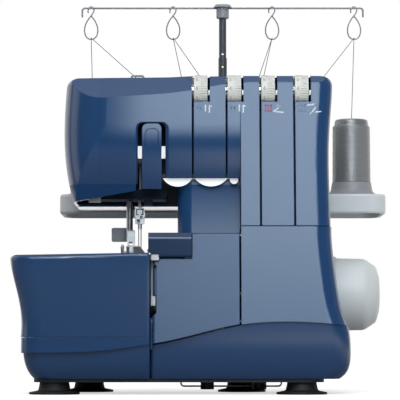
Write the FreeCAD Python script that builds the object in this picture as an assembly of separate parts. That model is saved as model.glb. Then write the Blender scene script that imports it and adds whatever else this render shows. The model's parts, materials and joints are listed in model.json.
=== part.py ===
import FreeCAD, Part
import math
import os

# Four-thread overlock sewing machine, in millimetres.
# X runs along the front, Y from the front to the rear, Z up from the table.
# The origin is the middle of the machine's outline on the table.

V = FreeCAD.Vector
FAR = 400.0

# Overall outline
BED_LEFT = -176.5
STAND_RIGHT = 176.5
BED_FRONT = -135.0
STAND_REAR = 135.0

# Heights above the table
FOOT_TOP = 11.0
BASE_THICK = 3.0
BASE_TOP = FOOT_TOP + BASE_THICK
BED_SEAM = 51.0
BED_TOP = 126.5
PANEL_FOOT = 145.0
CASING_TOP = 151.2
HEAD_UNDER = 175.0
LIP_HEIGHT = 196.0
BODY_TOP = 291.0

# Casing walls, gaps and fits
WALL = 2.6
SEAM = 0.6
RUN_FIT = 0.05
CLEAR = 0.4

# Main planes of the casing
FRONT_AT_SEAM = -115.05
FRONT_LEAN = 0.15
BODY_REAR = 45.0
BODY_RIGHT = 113.4
COVER_SPLIT = -20.0
STEP_X = 31.0
BED_RIGHT = -50.8

# Lower casing: height with the right side's flare, then height, flare and set-back of the foot
CASING_CORNERS = [4.0, 16.0, 14.0, 6.0]
CASING_FLARE = [(20.0, 16.0), (46.0, 16.2), (60.0, 13.6), (69.0, 10.3), (88.0, 5.7), (117.0, 2.0),
                (CASING_TOP + 2.0, 0.0)]
CASING_TUCK = [(BASE_TOP, 6.4, 1.4), (22.0, 13.7, 5.4), (38.0, 16.3, 8.9), (52.0, 15.6, 10.0),
               (70.0, 10.0, 10.4)]
CREASE = [(-60.0, 43.5), (-19.4, 50.7), (30.8, 62.3), (74.7, 65.0), (140.0, 60.0)]
JAMB_REAR = -112.0

# Left base casing and extension bed: height, inset from the bed's left end and from its front
BASE_TUCK = [(BASE_TOP, 21.0, 17.0), (24.0, 14.4, 11.0), (44.0, 11.0, 6.6), (BED_SEAM, 10.2, 6.0)]
BASE_FACE_INSET = 9.8
BASE_FACE_FRONT = 3.8
BASE_CREASE = [(-190.0, 36.0), (-129.0, 37.6), (-100.0, 38.6), (-74.0, 41.6), (-40.0, 46.6)]
BASE_CORNERS = [18.0, 2.0, 2.0, 14.0]
BED_RISE = 0.4
BED_ROWS = [(BED_SEAM + BED_RISE, 9.3, 4.0), (72.0, 9.5, 3.4), (96.0, 5.0, 1.8), (116.0, 0.6, 0.2),
            (BED_TOP, 0.0, 0.0)]
BED_CORNERS = [20.0, 2.0, 2.0, 16.0]
BED_ROUND = 3.0
BED_FALL = 0.029
BED_PITCH = 0.078

# Free arm under the bed
ARM_LEFT = -150.0
ARM_FRONT = -98.0
ARM_REAR = -6.0
ARM_FOOT = 60.0
ARM_GAP = 1.0
ARM_CORNERS = [14.0, 1.0, 1.0, 14.0]
DECK_FRONT = FRONT_AT_SEAM + 2.05

# Looper cover: its hinge, finger groove and latch tabs
DOOR_LEFT = BED_RIGHT + 2.6
DOOR_GAP = 1.6
RIM_DEPTH = 7.0
HINGE_Z = 65.4
HINGE_SET = 2.19
HINGE_PIN = 1.2
HINGE_REACH = 2.2
GROOVE_RIGHT = DOOR_LEFT + 3.2
GROOVE_FOOT = 71.0
GROOVE_TOP = 117.0
GROOVE_FLOOR = 1.6
LATCH_FOOT = 79.5
LATCH_TOP = 88.0
LATCH_FRONT = -121.4
LATCH_REAR = -108.0
LATCH_POST = 2.3

# Chip guard above the looper cover
COLUMN_LEFT = -26.5
CHIP_LEFT = BED_RIGHT - 1.6
CHIP_RIGHT = COLUMN_LEFT + 13.0
CHIP_FOOT = PANEL_FOOT - 22.2
CHIP_CROWN = PANEL_FOOT - 5.0
CHIP_FRONT = FRONT_AT_SEAM - 11.95
TAB_RIGHT = DOOR_LEFT + 5.4
TAB_FOOT = CHIP_FOOT - 2.6
TAB_RISE = 2.6

# Upper shell: height, left side and the right side's flare
HEAD_LEFT = -131.5
UPPER_ROWS = [(PANEL_FOOT - 23.0, 26.5, 0.6), (HEAD_UNDER, 9.0, -1.4), (205.0, 2.5, -1.9), (235.0, 0.0, -1.2),
              (262.0, 0.3, 0.9), (BODY_TOP, 2.0, 1.9)]
UPPER_CORNERS = [40.0, 14.0, 14.0, 26.0]
TOP_ROUND = 9.0
CREST = [(-150.0, 264.5), (-83.0, 272.4), (-14.0, 277.8), (18.0, 282.8), (52.0, 284.6), (130.0, 284.6)]
CREST_SLOPE = 40.0
UNDERCUT_TOP = 244.0
UNDERCUT_RADIUS = 100.0
LIP_CORNER = (-122.0, 20.0)
LIP_MIDDLE = 185.0
LIP_STEP = 187.0
COLUMN_FRONT = -93.0
COLUMN_LEAN = 8.0
COLUMN_TOP = 200.0
COLUMN_CORNERS = [13.0, 4.0, 4.0, 10.0]
VENT_FIRST = 40.0
VENT_PITCH = 9.0
VENT_COUNT = 7
VENT_WIDTH = 3.0
VENT_FOOT = 205.0
VENT_TOP = 235.0

# Suction feet
FOOT_RADIUS = 23.0
FOOT_NECK = 13.2
FOOT_STUD = 3.9
STUD_RISE = 2.0
FEET = [(-137.5, -98.0), (86.0, -98.0), (-112.0, 22.0), (34.0, 22.0)]
BASE_LEFT = -156.0
BASE_RIGHT = 106.0
BASE_FRONT = -114.0
BASE_REAR = 38.0
BASE_CORNER = 14.0

# Wire bail under the base
BAIL_LEFT = -23.5
BAIL_RIGHT = 69.0
BAIL_Y = -60.0
BAIL_Z = 6.8
BAIL_WIRE = 0.8
BAIL_BEND = 3.0
BAIL_SEAT = 1.0
BAIL_CLIPS = [0.7, 49.0]
CLIP_RADIUS = 6.2

# Handwheel and main shaft
WHEEL_Y = -25.0
WHEEL_Z = 92.0
WHEEL_RADIUS = 34.0
WHEEL_START = BODY_RIGHT + 1.3
WHEEL_WIDTH = 47.2
WHEEL_END = WHEEL_START + WHEEL_WIDTH
SHAFT_RADIUS = 6.0
SHAFT_LEFT = -58.0
SHAFT_IN_WHEEL = 8.0
BUSH_WALL = 3.0
BUSHES = [(-60.0, -46.0), (-12.0, 8.0), (98.0, 108.0)]
ECCENTRICS = [24.0, 36.0]
ECCENTRIC_RADIUS = 11.0
ECCENTRIC_THROW = 3.0
ECCENTRIC_WIDTH = 6.0
POCKET_GAP = 2.0

# Motor and belt
MOTOR_Y = 8.0
MOTOR_Z = 46.0
MOTOR_RADIUS = 25.0
MOTOR_LEFT = 24.0
MOTOR_LENGTH = 58.0
MOTOR_SHAFT = 3.0
SHAFT_HOLD = 22.0
BELT_X = 92.0
BIG_PULLEY = 26.0
SMALL_PULLEY = 8.0
BELT_WIDTH = 6.0
BELT_THICK = 2.0
FLANGE = 1.5
FLANGE_RISE = 2.2

# Controls on the right side: each place is (Y, Z)
STITCH_AT = (24.0, 118.0)
FEED_LEVER_AT = (24.0, 82.0)
SWITCH_AT = (26.0, 44.0)
INLET_AT = (-8.0, 34.0)
CONTROL_STEM = 3.0
STEM_REACH = 12.2
KNOB_FACE = BODY_RIGHT + 4.0
KNOB_RADIUS = 12.5
KNOB_HEIGHT = 7.8
KNOB_FLUTES = 18
LEVER_FACE = BODY_RIGHT + 9.5
LEVER_LENGTH = 20.0
LEVER_HUB = 7.0
ROCKER_X = BODY_RIGHT + 12.4
ROCKER_PIN = 1.5
SWITCH_HALF = (6.0, 10.0)
INLET_HALF = (12.0, 9.0)
INLET_FACE = BODY_RIGHT + 16.8
INLET_DEPTH = 20.6
INLET_PIN = 1.2
INLET_PITCH = 8.6

# Tension units
DIAL_FIRST = -5.3
DIAL_PITCH = 30.8
DIAL_COUNT = 4
DIAL_RADIUS = 15.0
DIAL_WIDTH = 12.4
DIAL_Z = BODY_TOP - 14.0
DIAL_PROUD = 0.75
DIAL_Y = FRONT_AT_SEAM + FRONT_LEAN * (DIAL_Z - PANEL_FOOT) + DIAL_RADIUS - DIAL_PROUD
DIAL_GAP = 0.8
DIAL_SIDE_GAP = 2.0
RIDGES = 40
RIDGE_ROOT = DIAL_RADIUS - 0.6
SLOT_WIDTH = 1.7
SLOT_WALL = 0.2
SLOT_REAR = DIAL_Y + 10.0
AXLE_RADIUS = 2.2
DISC_RADIUS = 8.0
DISC_THICK = 0.45
DISC_GAP = 0.55
BLOCK_FRONT = DIAL_Y - 7.0
BLOCK_FOOT = DIAL_Z - 21.0
BLOCK_TOP = BODY_TOP - 6.0
CHANNEL_HALF = 4.0
LIP_Y = -92.6
LIP_THICK = 1.4
LIPS = [(-39.9, -12.9, 7.4), (-11.0, 19.2, 7.2), (21.5, 28.6, 5.0)]

# Cast frame
FRAME_FRONT = -40.0
FRAME_REAR = -12.0
HEAD_FRAME_FRONT = -76.0
HEAD_FRAME_LEFT = -112.0
HEAD_FRAME_RIGHT = -36.0
HEAD_FRAME_FOOT = 178.0
HEAD_FRAME_WALL = 9.0
BOSS = (-57.4, -49.5, 172.6)
LOW_GUIDE_TOP = 187.0
BAR_GUIDE_LOW = 228.0
BAR_GUIDE_TOP = 258.0
ARM_TOP = 262.0
FRAME_TOP = 270.0
FRAME_COLUMN = (-20.0, 16.0)
FRAME_HOLES = [(118.0, 150.0), (160.0, 195.0)]
LOOPER_ARM = (-66.0, 72.0, 104.0)
RAIL_LEFT = BED_RIGHT + SEAM + WALL + CLEAR
RAIL_TOP = 30.0
PIVOT_RADIUS = 3.0
PIVOT_SEAT = -35.0

# Needle bar, clamp and needles
NEEDLE_X = -61.6
NEEDLE_Y = -62.0
NEEDLE_BAR = 1.8
NEEDLE_BAR_TOP = 270.0
NEEDLE_GAP = 2.2
NEEDLE_SHANK = 0.8
NEEDLE_BLADE = 0.45
NEEDLE_TIP = 131.0
CLAMP_FOOT = 156.2
CLAMP_TOP = 171.2
CLAMP_DEPTH = 9.2
SOCKET_DEPTH = 5.0
BAR_SEAT = 6.0
SCREW_RADIUS = 1.5
SCREW_SOCKET = 0.8

# Take-up window and bar
WINDOW_LEFT = NEEDLE_X - 2.9
WINDOW_RIGHT = WINDOW_LEFT + 30.0
WINDOW_TOP = 247.0
TONGUE_LEFT = WINDOW_LEFT + 5.7
TONGUE_RIGHT = WINDOW_RIGHT - 6.5
TONGUE_SINK = 0.9
TONGUE_GAP = 1.2
LINE_INSET = 2.5
LINE_WIDTH = 1.0
LINE_DEPTH = 0.5
LINE_LENGTH = 16.4
TAKE_UP_FOOT = 214.6
TAKE_UP_TOP = 225.8
TAKE_UP_FRONT = -89.6
TAKE_UP_THICK = 2.4

# Presser bar, foot and lifter
PRESSER_X = NEEDLE_X - 9.9
PRESSER_Y = -49.0
PRESSER_BAR = 3.0
PRESSER_FOOT_END = 141.0
PRESSER_TOP = 272.0
COLLAR_FOOT = 200.0
COLLAR_HEIGHT = 6.0
ANKLE_X = PRESSER_X + 1.5
ANKLE_HALF = 3.4
ANKLE_TOP = 151.0
ANKLE_EAR = 1.6
FOOT_PIN = 1.0
FOOT_PIN_Y = PRESSER_Y - 7.0
FOOT_PIN_Z = 134.6
FOOT_SOLE = 128.0
SOLE_THICK = 2.6
TOE_RISE = 6.0
SOLE_LEFT = PRESSER_X - 7.0
SOLE_RIGHT = PRESSER_X + 14.0
LIFTER_X = PRESSER_X
LIFTER_Y = -26.0
LIFTER_Z = 214.0
LIFTER_STUD = 3.0
LIFTER_HUB = 6.5
LIFTER_SLOT = 3.6
LIFTER_FOOT = 141.3
LIFTER_PLATE = (-89.0, -74.6, 154.4)

# Needle plate, feed, loopers and knives
PLATE_LEFT = -92.0
PLATE_RIGHT = -40.0
PLATE_FRONT = -84.0
PLATE_REAR = -40.0
PLATE_PROUD = 0.4
PLATE_GAP = 0.3
FEED_ROWS = [PRESSER_X - 2.5, PRESSER_X + 3.0]
FEED_FRONT = -76.0
FEED_END = -50.0
FEED_HALF = 1.2
FEED_RISE = 1.2
FEED_TEETH = 12
FEED_X = -60.0
FEED_Z = 99.5
FEED_ROD = 2.5
LOWER_LOOPER_PIVOT = (-44.0, 80.0)
LOWER_LOOPER_TIP = (-42.0, 112.0)
LOWER_LOOPER_Y = NEEDLE_Y + 2.6
LOWER_LOOPER_HOOK = -14.0
UPPER_LOOPER_PIVOT = (-56.0, 79.0)
UPPER_LOOPER_TIP = (-49.0, 108.0)
UPPER_LOOPER_Y = NEEDLE_Y - 4.8
UPPER_LOOPER_HOOK = 12.0
LOOPER_THICK = 2.0
LOOPER_HUB = 5.5
KNIFE_X = NEEDLE_X + 7.6
KNIFE_STEM_X = KNIFE_X + 0.6
KNIFE_STEM_Y = -70.6
KNIFE_STEM = 2.0
HOLDER_TOP = 98.0

# Lamp
LAMP_LEFT = -108.0
LAMP_RIGHT = -97.0
LAMP_FOOT = 175.0
LAMP_TOP = 184.0
LAMP_DEPTH = 5.0

# Spool stand and cones
STAND_FRONT = BODY_REAR + 2.0
STAND_TOP = 192.1
STAND_UNDER = STAND_TOP - 18.7
STAND_CORNER = 18.0
STAND_RIM = 4.0
BRACKET_LEFT = -30.0
BRACKET_RIGHT = 61.0
CONE_OFFSETS = [-129.0, -32.0, 32.0, 129.0]
CONE_Y = (STAND_FRONT + STAND_REAR) / 2 + 5.0
CONE_RADIUS = 18.9
CONE_FOOT = STAND_TOP + 14.5
CONE_SHOULDER = CONE_FOOT + 56.0
CONE_TOP = CONE_SHOULDER + 7.2
CONE_BORE = 9.0
HOLDER_RADIUS = 26.8
HOLDER_SLEEVE = 14.0
PIN_RADIUS = 2.6
PIN_DROP = 2.0

# Telescoping mast, guide rod and hooks
MAST_X = 16.4
MAST_Y = STAND_FRONT + 19.0
ROD_RADIUS = 3.6
MIDDLE_RADIUS = 4.2
LOWER_RADIUS = 5.2
SOCKET_FLOOR = STAND_UNDER + 3.0
LOWER_TOP = 262.0
MIDDLE_FOOT = 222.0
MIDDLE_TOP = 328.0
ROD_FOOT = 262.0
MAST_TOP = 381.0
CAP_FOOT = MAST_TOP - 13.5
CAP_RADIUS = 6.2
CAP_FLANGE = 9.4
STOP_HOLES = [332.0, 319.3]
STOP_RADIUS = 1.3
GUIDE_Z = MAST_TOP - 3.2
GUIDE_HALF = 139.0
GUIDE_WIRE = 0.9
GUIDE_DROP = 9.0
HOOK_OFFSETS = [-130.2, -49.0, 49.0, 130.2]
HOOK_WIRE = 0.65
HOOK_HALF = 6.4
HOOK_FOOT = GUIDE_Z - 31.0

# Threads and their guides on the top: each guide is (X, Y, half width)
THREAD_RADIUS = 0.3
THREAD_BEND = 0.6
GUIDES = [(-64.5, -44.0, 6.5), (-3.0, -30.0, 4.0), (106.0, 8.0, 4.0)]
GUIDE_RISE = 6.0
GUIDE_THICK = 2.4
GUIDE_BAND = 1.6
GUIDE_EYE = BODY_TOP + 2.2
EYE_STEP = 1.2
EYE_LIFT = 0.4
EYE_DROP = 0.7
HOOK_EYE = HOOK_FOOT + HOOK_WIRE + THREAD_RADIUS


def box(x0, x1, y0, y1, z0, z1):
    """A block between two corners."""
    return Part.makeBox(x1 - x0, y1 - y0, z1 - z0, V(x0, y0, z0))


def room(x0=-FAR, x1=FAR, y0=-FAR, y1=FAR, z0=-FAR, z1=FAR):
    """A block whose sides lie far outside wherever no limit is given."""
    return box(x0, x1, y0, y1, z0, z1)


def rod_x(x0, x1, y, z, radius):
    return Part.makeCylinder(radius, x1 - x0, V(x0, y, z), V(1, 0, 0))


def rod_y(x, y0, y1, z, radius):
    return Part.makeCylinder(radius, y1 - y0, V(x, y0, z), V(0, 1, 0))


def rod_z(x, y, z0, z1, radius):
    return Part.makeCylinder(radius, z1 - z0, V(x, y, z0), V(0, 0, 1))


def on_xy(level):
    return lambda a, b: V(a, b, level)


def on_xz(depth):
    return lambda a, b: V(a, depth, b)


def on_yz(across):
    return lambda a, b: V(across, a, b)


def outline(points, place, closed=True):
    """A wire through corner points (a, b, radius), each corner rounded by its radius."""
    count = len(points)
    ends = []
    for i, (a, b, radius) in enumerate(points):
        here = V(a, b, 0)
        if radius == 0 or (not closed and i in (0, count - 1)):
            ends.append((here, None, here))
            continue
        before = V(points[i - 1][0], points[i - 1][1], 0) - here
        after = V(points[(i + 1) % count][0], points[(i + 1) % count][1], 0) - here
        half = before.getAngle(after) / 2
        before.normalize()
        after.normalize()
        reach = radius / math.tan(half)
        middle = (before + after).normalize() * (radius / math.sin(half) - radius)
        ends.append((here + before * reach, here + middle, here + after * reach))
    edges = []
    for i, (start, middle, end) in enumerate(ends):
        if middle is not None:
            arc = Part.Arc(place(start.x, start.y), place(middle.x, middle.y), place(end.x, end.y))
            edges.append(arc.toShape())
        if closed or i < count - 1:
            follow = ends[(i + 1) % count][0]
            if end.distanceToPoint(follow) > 1e-6:
                edges.append(Part.makeLine(place(end.x, end.y), place(follow.x, follow.y)))
    return Part.Wire(edges)


def prism(points, place, sweep):
    """A solid with a rounded outline, extruded along the sweep vector."""
    return Part.Face(outline(points, place)).extrude(sweep)


def rounded(a0, a1, b0, b1, radius):
    """The four corners of a rectangle, all with one radius."""
    return [(a0, b0, radius), (a1, b0, radius), (a1, b1, radius), (a0, b1, radius)]


def plate_xy(x0, x1, y0, y1, z0, z1, radius):
    return prism(rounded(x0, x1, y0, y1, radius), on_xy(z0), V(0, 0, z1 - z0))


def revolve(points, place, origin, axis):
    return Part.Face(outline(points, place)).revolve(origin, axis, 360)


def turned(points, x, y):
    """A round piece about an upright axis, from its half section."""
    return revolve(points, lambda a, b: V(x + a, y, b), V(x, y, 0), V(0, 0, 1))


def turned_x(points, y, z):
    """A round piece about an axis along X, from its half section."""
    return revolve(points, lambda a, b: V(a, y, z + b), V(0, y, z), V(1, 0, 0))


def fuse(shapes):
    joined = shapes[0].multiFuse(shapes[1:]) if len(shapes) > 1 else shapes[0]
    return joined.removeSplitter()


def tube(wire, radius):
    """A round wire swept along a path."""
    first = wire.OrderedEdges[0]
    start = first.valueAt(first.FirstParameter)
    heading = first.tangentAt(first.FirstParameter)
    ring = Part.Wire(Part.makeCircle(radius, start, heading))
    return wire.makePipeShell([ring], True, False)


def curve(points):
    """A smooth curve through the points."""
    spline = Part.BSplineCurve()
    spline.interpolate([V(*p) for p in points])
    return spline.toShape()


def stack(levels, inset, corners):
    """A body lofted through rounded rectangles (z, left, right, front, rear)."""
    rings = []
    for z, left, right, front, rear in levels:
        ends = [(left, front), (right, front), (right, rear), (left, rear)]
        signs = [(1, 1), (-1, 1), (-1, -1), (1, -1)]
        ring = [(x + sx * inset, y + sy * inset, max(r - inset, 1.0))
                for (x, y), (sx, sy), r in zip(ends, signs, corners)]
        rings.append(outline(ring, on_xy(z)))
    return Part.makeLoft(rings, True, False)


def region(line, level, sweep=V(0, 300, 0)):
    """Everything between a line across the front and a level, swept through the depth."""
    ends = line.Vertexes
    first, last = ends[0].Point, ends[-1].Point
    corners = [last, V(last.x, last.y, level), V(first.x, first.y, level), first]
    sides = [Part.makeLine(a, b) for a, b in zip(corners, corners[1:])]
    return Part.Face(Part.Wire([line] + sides)).extrude(sweep)


def front_at(z):
    """The Y of the leaning front plane at a height."""
    return FRONT_AT_SEAM + FRONT_LEAN * (z - PANEL_FOOT)


HINGE_Y = front_at(HINGE_Z) + HINGE_SET


# Lower casing and looper cover

def crease(shift):
    """The curved line across the front where the face turns under, moved by a height."""
    return curve([(x, BED_FRONT - 10, z + shift) for x, z in CREASE])


def casing_face(inset):
    """The leaning face above the crease, from the base up to the casing's top."""
    levels = [(z, BED_RIGHT + SEAM, BODY_RIGHT + flare, front_at(z), BODY_REAR) for z, flare in CASING_FLARE]
    return stack(levels, inset, CASING_CORNERS)


def casing_foot(inset):
    """The face below the crease, set back and drawn in towards the base."""
    levels = [(z, BED_RIGHT + SEAM, BODY_RIGHT + flare, FRONT_AT_SEAM - tuck, BODY_REAR)
              for z, flare, tuck in CASING_TUCK]
    return stack(levels, inset, CASING_CORNERS)


def casing_solid(inset):
    upper = casing_face(inset).common(region(crease(0), CASING_TOP))
    lower = casing_foot(inset).common(region(crease(0), BASE_TOP - 1))
    return upper.fuse(lower)


def door_opening():
    """The front opening that the looper cover closes."""
    area = room(x0=BED_RIGHT, x1=STEP_X, y1=FRONT_AT_SEAM + 55, z0=0)
    return area.common(region(crease(-CLEAR), FAR))


def door_area():
    """The looper cover's outline in the front view: the opening less a seam."""
    right, top = STEP_X - DOOR_GAP, PANEL_FOOT - SEAM
    notch, shelf = CHIP_RIGHT + SEAM, CHIP_FOOT - 2 * SEAM
    corners = [(DOOR_LEFT, 0, 0), (right, 0, 0), (right, top, 1.5), (notch, top, 1.5), (notch, shelf, 0),
               (DOOR_LEFT, shelf, 0)]
    return prism(corners, on_xz(BED_FRONT - 10), V(0, 300, 0)).common(region(crease(SEAM), FAR))


def handwheel_pocket(gap):
    radius = WHEEL_RADIUS + POCKET_GAP + gap
    return rod_x(WHEEL_START - POCKET_GAP - gap, WHEEL_END, WHEEL_Y, WHEEL_Z, radius)


def switch_seat():
    y, z = SWITCH_AT
    half_y, half_z = SWITCH_HALF
    seat = room(x0=BODY_RIGHT, y0=y - half_y, y1=y + half_y, z0=z - half_z, z1=z + half_z)
    return seat.fuse(rod_y(ROCKER_X, y - half_y - SEAM, y + half_y + SEAM, z, ROCKER_PIN + RUN_FIT))


def inlet_seat():
    y, z = INLET_AT
    half_y, half_z = INLET_HALF
    return room(x0=INLET_FACE - INLET_DEPTH, y0=y - half_y, y1=y + half_y, z0=z - half_z, z1=z + half_z)


def casing_walls():
    """Inner walls: the jamb beside the looper cover, the cheek under the column and the hinge lug."""
    solid = casing_solid(0)
    jamb = room(x0=STEP_X, x1=STEP_X + WALL, y1=JAMB_REAR, z0=HINGE_Z - 7, z1=CASING_TOP)
    cheek = room(x0=COLUMN_LEFT, x1=COLUMN_LEFT + WALL, y0=DECK_FRONT + CLEAR, z0=BED_TOP - WALL,
                 z1=PANEL_FOOT - SEAM)
    lug = box(BED_RIGHT + SEAM, DOOR_LEFT - CLEAR, HINGE_Y - 1.0, HINGE_Y + 8.0, HINGE_Z - 25, HINGE_Z + 3)
    return [jamb.common(solid), cheek.common(solid), lug]


def lower_casing():
    """Right and rear lower shell, with the handwheel's pocket and the looper opening."""
    outer = casing_solid(0).cut(handwheel_pocket(0))
    hollow = casing_face(WALL).common(region(crease(WALL), CASING_TOP + 10))
    hollow = hollow.fuse(casing_foot(WALL).common(region(crease(WALL + 1), BASE_TOP - 1)))
    shell = outer.cut(hollow.cut(handwheel_pocket(WALL))).cut(room(z1=BASE_TOP))
    shell = shell.cut(door_opening())
    shell = shell.cut(room(x1=STEP_X, z0=PANEL_FOOT - SEAM))
    shell = shell.cut(room(x1=COLUMN_LEFT, z0=BED_TOP - WALL))
    shell = shell.cut(box(BED_RIGHT - 5, BED_RIGHT + 8, ARM_FRONT - 12, ARM_REAR + ARM_GAP, BED_SEAM + 4,
                          FAR))
    shell = shell.multiFuse(casing_walls())
    shell = shell.cut(rod_x(BED_RIGHT, STEP_X + WALL, HINGE_Y, HINGE_Z, HINGE_PIN + RUN_FIT))
    shell = shell.cut(rod_x(BODY_RIGHT - 17, WHEEL_END, WHEEL_Y, WHEEL_Z, SHAFT_RADIUS + 4))
    shell = shell.cut(switch_seat()).cut(inlet_seat())
    for y, z in (STITCH_AT, FEED_LEVER_AT):
        shell = shell.cut(rod_x(BODY_RIGHT - 15, LEVER_FACE + 10, y, z, CONTROL_STEM + RUN_FIT))
    return shell.removeSplitter()


def cover_groove():
    corners = [(DOOR_LEFT - 3, GROOVE_FOOT, 0), (GROOVE_RIGHT, GROOVE_FOOT, 3), (GROOVE_RIGHT, GROOVE_TOP, 3),
               (DOOR_LEFT - 3, GROOVE_TOP, 0)]
    return prism(corners, on_xz(BED_FRONT - 10), V(0, 60, 0))


def looper_cover():
    """Hinged front cover: a leaning skin with rims, two pivots and a recessed finger groove."""
    face = casing_face(0)
    area = door_area().common(room(y1=ARM_FRONT))
    skin = face.cut(face.translated(V(0, WALL, 0))).common(area)
    rims = face.cut(face.translated(V(0, RIM_DEPTH, 0))).common(area)
    groove = cover_groove()
    notch = room(x1=TAB_RIGHT + CLEAR, z0=TAB_FOOT - CLEAR)
    cover = skin.cut(groove).cut(notch)
    right_rim = room(x0=STEP_X - DOOR_GAP - WALL)
    groove_rim = room(x0=GROOVE_RIGHT, x1=GROOVE_RIGHT + WALL, z0=GROOVE_FOOT, z1=GROOVE_TOP - 3)
    floor = rims.cut(face.cut(face.translated(V(0, RIM_DEPTH - GROOVE_FLOOR, 0))))
    floor = floor.common(groove).common(room(z0=LATCH_TOP + CLEAR, z1=GROOVE_TOP - 3))
    cover = cover.multiFuse([rims.common(right_rim), rims.common(groove_rim), floor])
    for start, end in ((DOOR_LEFT - HINGE_REACH, DOOR_LEFT + 2), (STEP_X - 4, STEP_X + HINGE_REACH)):
        cover = cover.fuse(rod_x(start, end, HINGE_Y, HINGE_Z, HINGE_PIN))
    return cover.removeSplitter()


def cover_latch():
    """Two pale latch tabs that show beside the looper cover, on a post from the deck."""
    left = BED_RIGHT + SEAM + 0.1
    lower = plate_xy(left, GROOVE_RIGHT - SEAM, LATCH_FRONT, LATCH_REAR, LATCH_FOOT, LATCH_TOP, 1.2)
    upper = plate_xy(left, TAB_RIGHT, LATCH_FRONT, LATCH_REAR, TAB_FOOT, CHIP_FOOT - 0.3, 1.2)
    nose_rear = DECK_FRONT - CLEAR
    nose = plate_xy(left, TAB_RIGHT, LATCH_FRONT - 1.4, nose_rear, TAB_FOOT, CHIP_FOOT + TAB_RISE, 1.2)
    post = box(left, left + LATCH_POST, LATCH_REAR - 2, ARM_FRONT - CLEAR, LATCH_FOOT, BED_TOP - WALL)
    return fuse([lower, upper, nose, post])


def chip_guard():
    """Rounded bar above the looper cover that sheds the trimmings."""
    corners = [(DECK_FRONT, CHIP_FOOT, 0), (CHIP_FRONT + 4, CHIP_FOOT, 3), (CHIP_FRONT, CHIP_CROWN, 4),
               (CHIP_FRONT + 5, PANEL_FOOT, 2), (DECK_FRONT, PANEL_FOOT, 2)]
    guard = prism(corners, on_yz(CHIP_LEFT), V(CHIP_RIGHT - CHIP_LEFT, 0, 0))
    guard = guard.cut(room(x1=TAB_RIGHT + CLEAR, z1=CHIP_FOOT + TAB_RISE + CLEAR))
    return guard.cut(room(x1=BED_RIGHT + CLEAR, z1=BED_TOP + SEAM))


# Base, feet and extension bed

def base_plate():
    """Flat plate with holes for the feet and the two clips of the wire bail."""
    plate = plate_xy(BASE_LEFT, BASE_RIGHT, BASE_FRONT, BASE_REAR, FOOT_TOP, BASE_TOP, BASE_CORNER)
    for x, y in FEET:
        plate = plate.cut(rod_z(x, y, 0, BASE_TOP + 1, FOOT_STUD))
    for x in BAIL_CLIPS:
        plate = plate.fuse(rod_z(x, BAIL_Y, BAIL_Z - 3, FOOT_TOP, CLIP_RADIUS))
    plate = plate.cut(rod_x(BAIL_LEFT, BAIL_RIGHT, BAIL_Y, BAIL_Z, BAIL_WIRE + RUN_FIT))
    for x in (BAIL_LEFT, BAIL_RIGHT):
        plate = plate.cut(rod_z(x, BAIL_Y, 0, BASE_TOP - BAIL_SEAT, BAIL_WIRE + RUN_FIT))
    return plate.removeSplitter()


def wire_bail():
    """Bent wire under the base that holds a bin for the trimmings."""
    top = BASE_TOP - BAIL_SEAT - 0.2
    path = outline([(BAIL_LEFT, top, 0), (BAIL_LEFT, BAIL_Z, BAIL_BEND), (BAIL_RIGHT, BAIL_Z, BAIL_BEND),
                    (BAIL_RIGHT, top, 0)], on_xz(BAIL_Y), closed=False)
    return tube(path, BAIL_WIRE)


def suction_feet():
    """Four soft feet: a wide cup, a neck and a stud pressed through the base plate."""
    half = [(0, 2.2, 0), (FOOT_NECK, 0.0, 0), (FOOT_RADIUS, 0.0, 0.8), (FOOT_RADIUS, 2.0, 0.8),
            (FOOT_NECK + 1.5, 3.6, 2.0), (FOOT_NECK, FOOT_TOP, 0), (FOOT_STUD, FOOT_TOP, 0),
            (FOOT_STUD, BASE_TOP + STUD_RISE, 0.5), (0, BASE_TOP + STUD_RISE, 0)]
    return Part.makeCompound([turned(half, x, y) for x, y in FEET])


def left_face(inset):
    """The upright face of the left base casing."""
    levels = [(z, BED_LEFT + BASE_FACE_INSET, BED_RIGHT, BED_FRONT + BASE_FACE_FRONT, BODY_REAR)
              for z in (BASE_TOP, BED_SEAM)]
    return stack(levels, inset, BASE_CORNERS)


def left_foot(inset):
    """The part below its crease, drawn in towards the base."""
    levels = [(z, BED_LEFT + side, BED_RIGHT, BED_FRONT + tuck, BODY_REAR) for z, side, tuck in BASE_TUCK]
    return stack(levels, inset, BASE_CORNERS)


def base_left_casing():
    """Low moulding under the extension bed, with a crease that rises to the right."""
    line = curve([(x, BED_FRONT - 10, z) for x, z in BASE_CREASE])
    outer = left_face(0).common(region(line, BED_SEAM)).fuse(left_foot(0).common(region(line, BASE_TOP - 1)))
    return outer.cut(left_foot(WALL).common(room(z1=BED_SEAM - WALL))).removeSplitter()


def bed_slope():
    """What is taken off the bed's top, which falls away to the front left corner."""
    drop = BED_FALL * (BED_RIGHT - BED_LEFT)
    start = BED_FRONT - 10
    low = BED_TOP - 10 * BED_PITCH
    line = Part.makeLine(V(BED_LEFT - 20, start, low - drop - 20 * BED_FALL),
                         V(BED_RIGHT + 1, start, low + BED_FALL))
    return region(line, BED_TOP + 40, V(0, 100, 100 * BED_PITCH))


def arm_room(gap):
    """The space round the free arm, open to the right and the top."""
    return box(ARM_LEFT - gap, 0, ARM_FRONT - gap, ARM_REAR + gap, ARM_FOOT - gap, FAR)


def rim_edges(body):
    """The outer edges round the bed's top, away from its right end and from the arm's space."""
    inner = arm_room(3 * ARM_GAP).BoundBox
    found = []
    for edge in body.Edges:
        middle = edge.CenterOfMass
        faces = body.ancestorsOfType(edge, Part.Face)
        upward = [f.normalAt(*f.Surface.parameter(middle)).z > 0.95 for f in faces]
        if any(upward) and not all(upward) and middle.x < BED_RIGHT - 2 and not inner.isInside(middle):
            found.append(edge)
    return found


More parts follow.
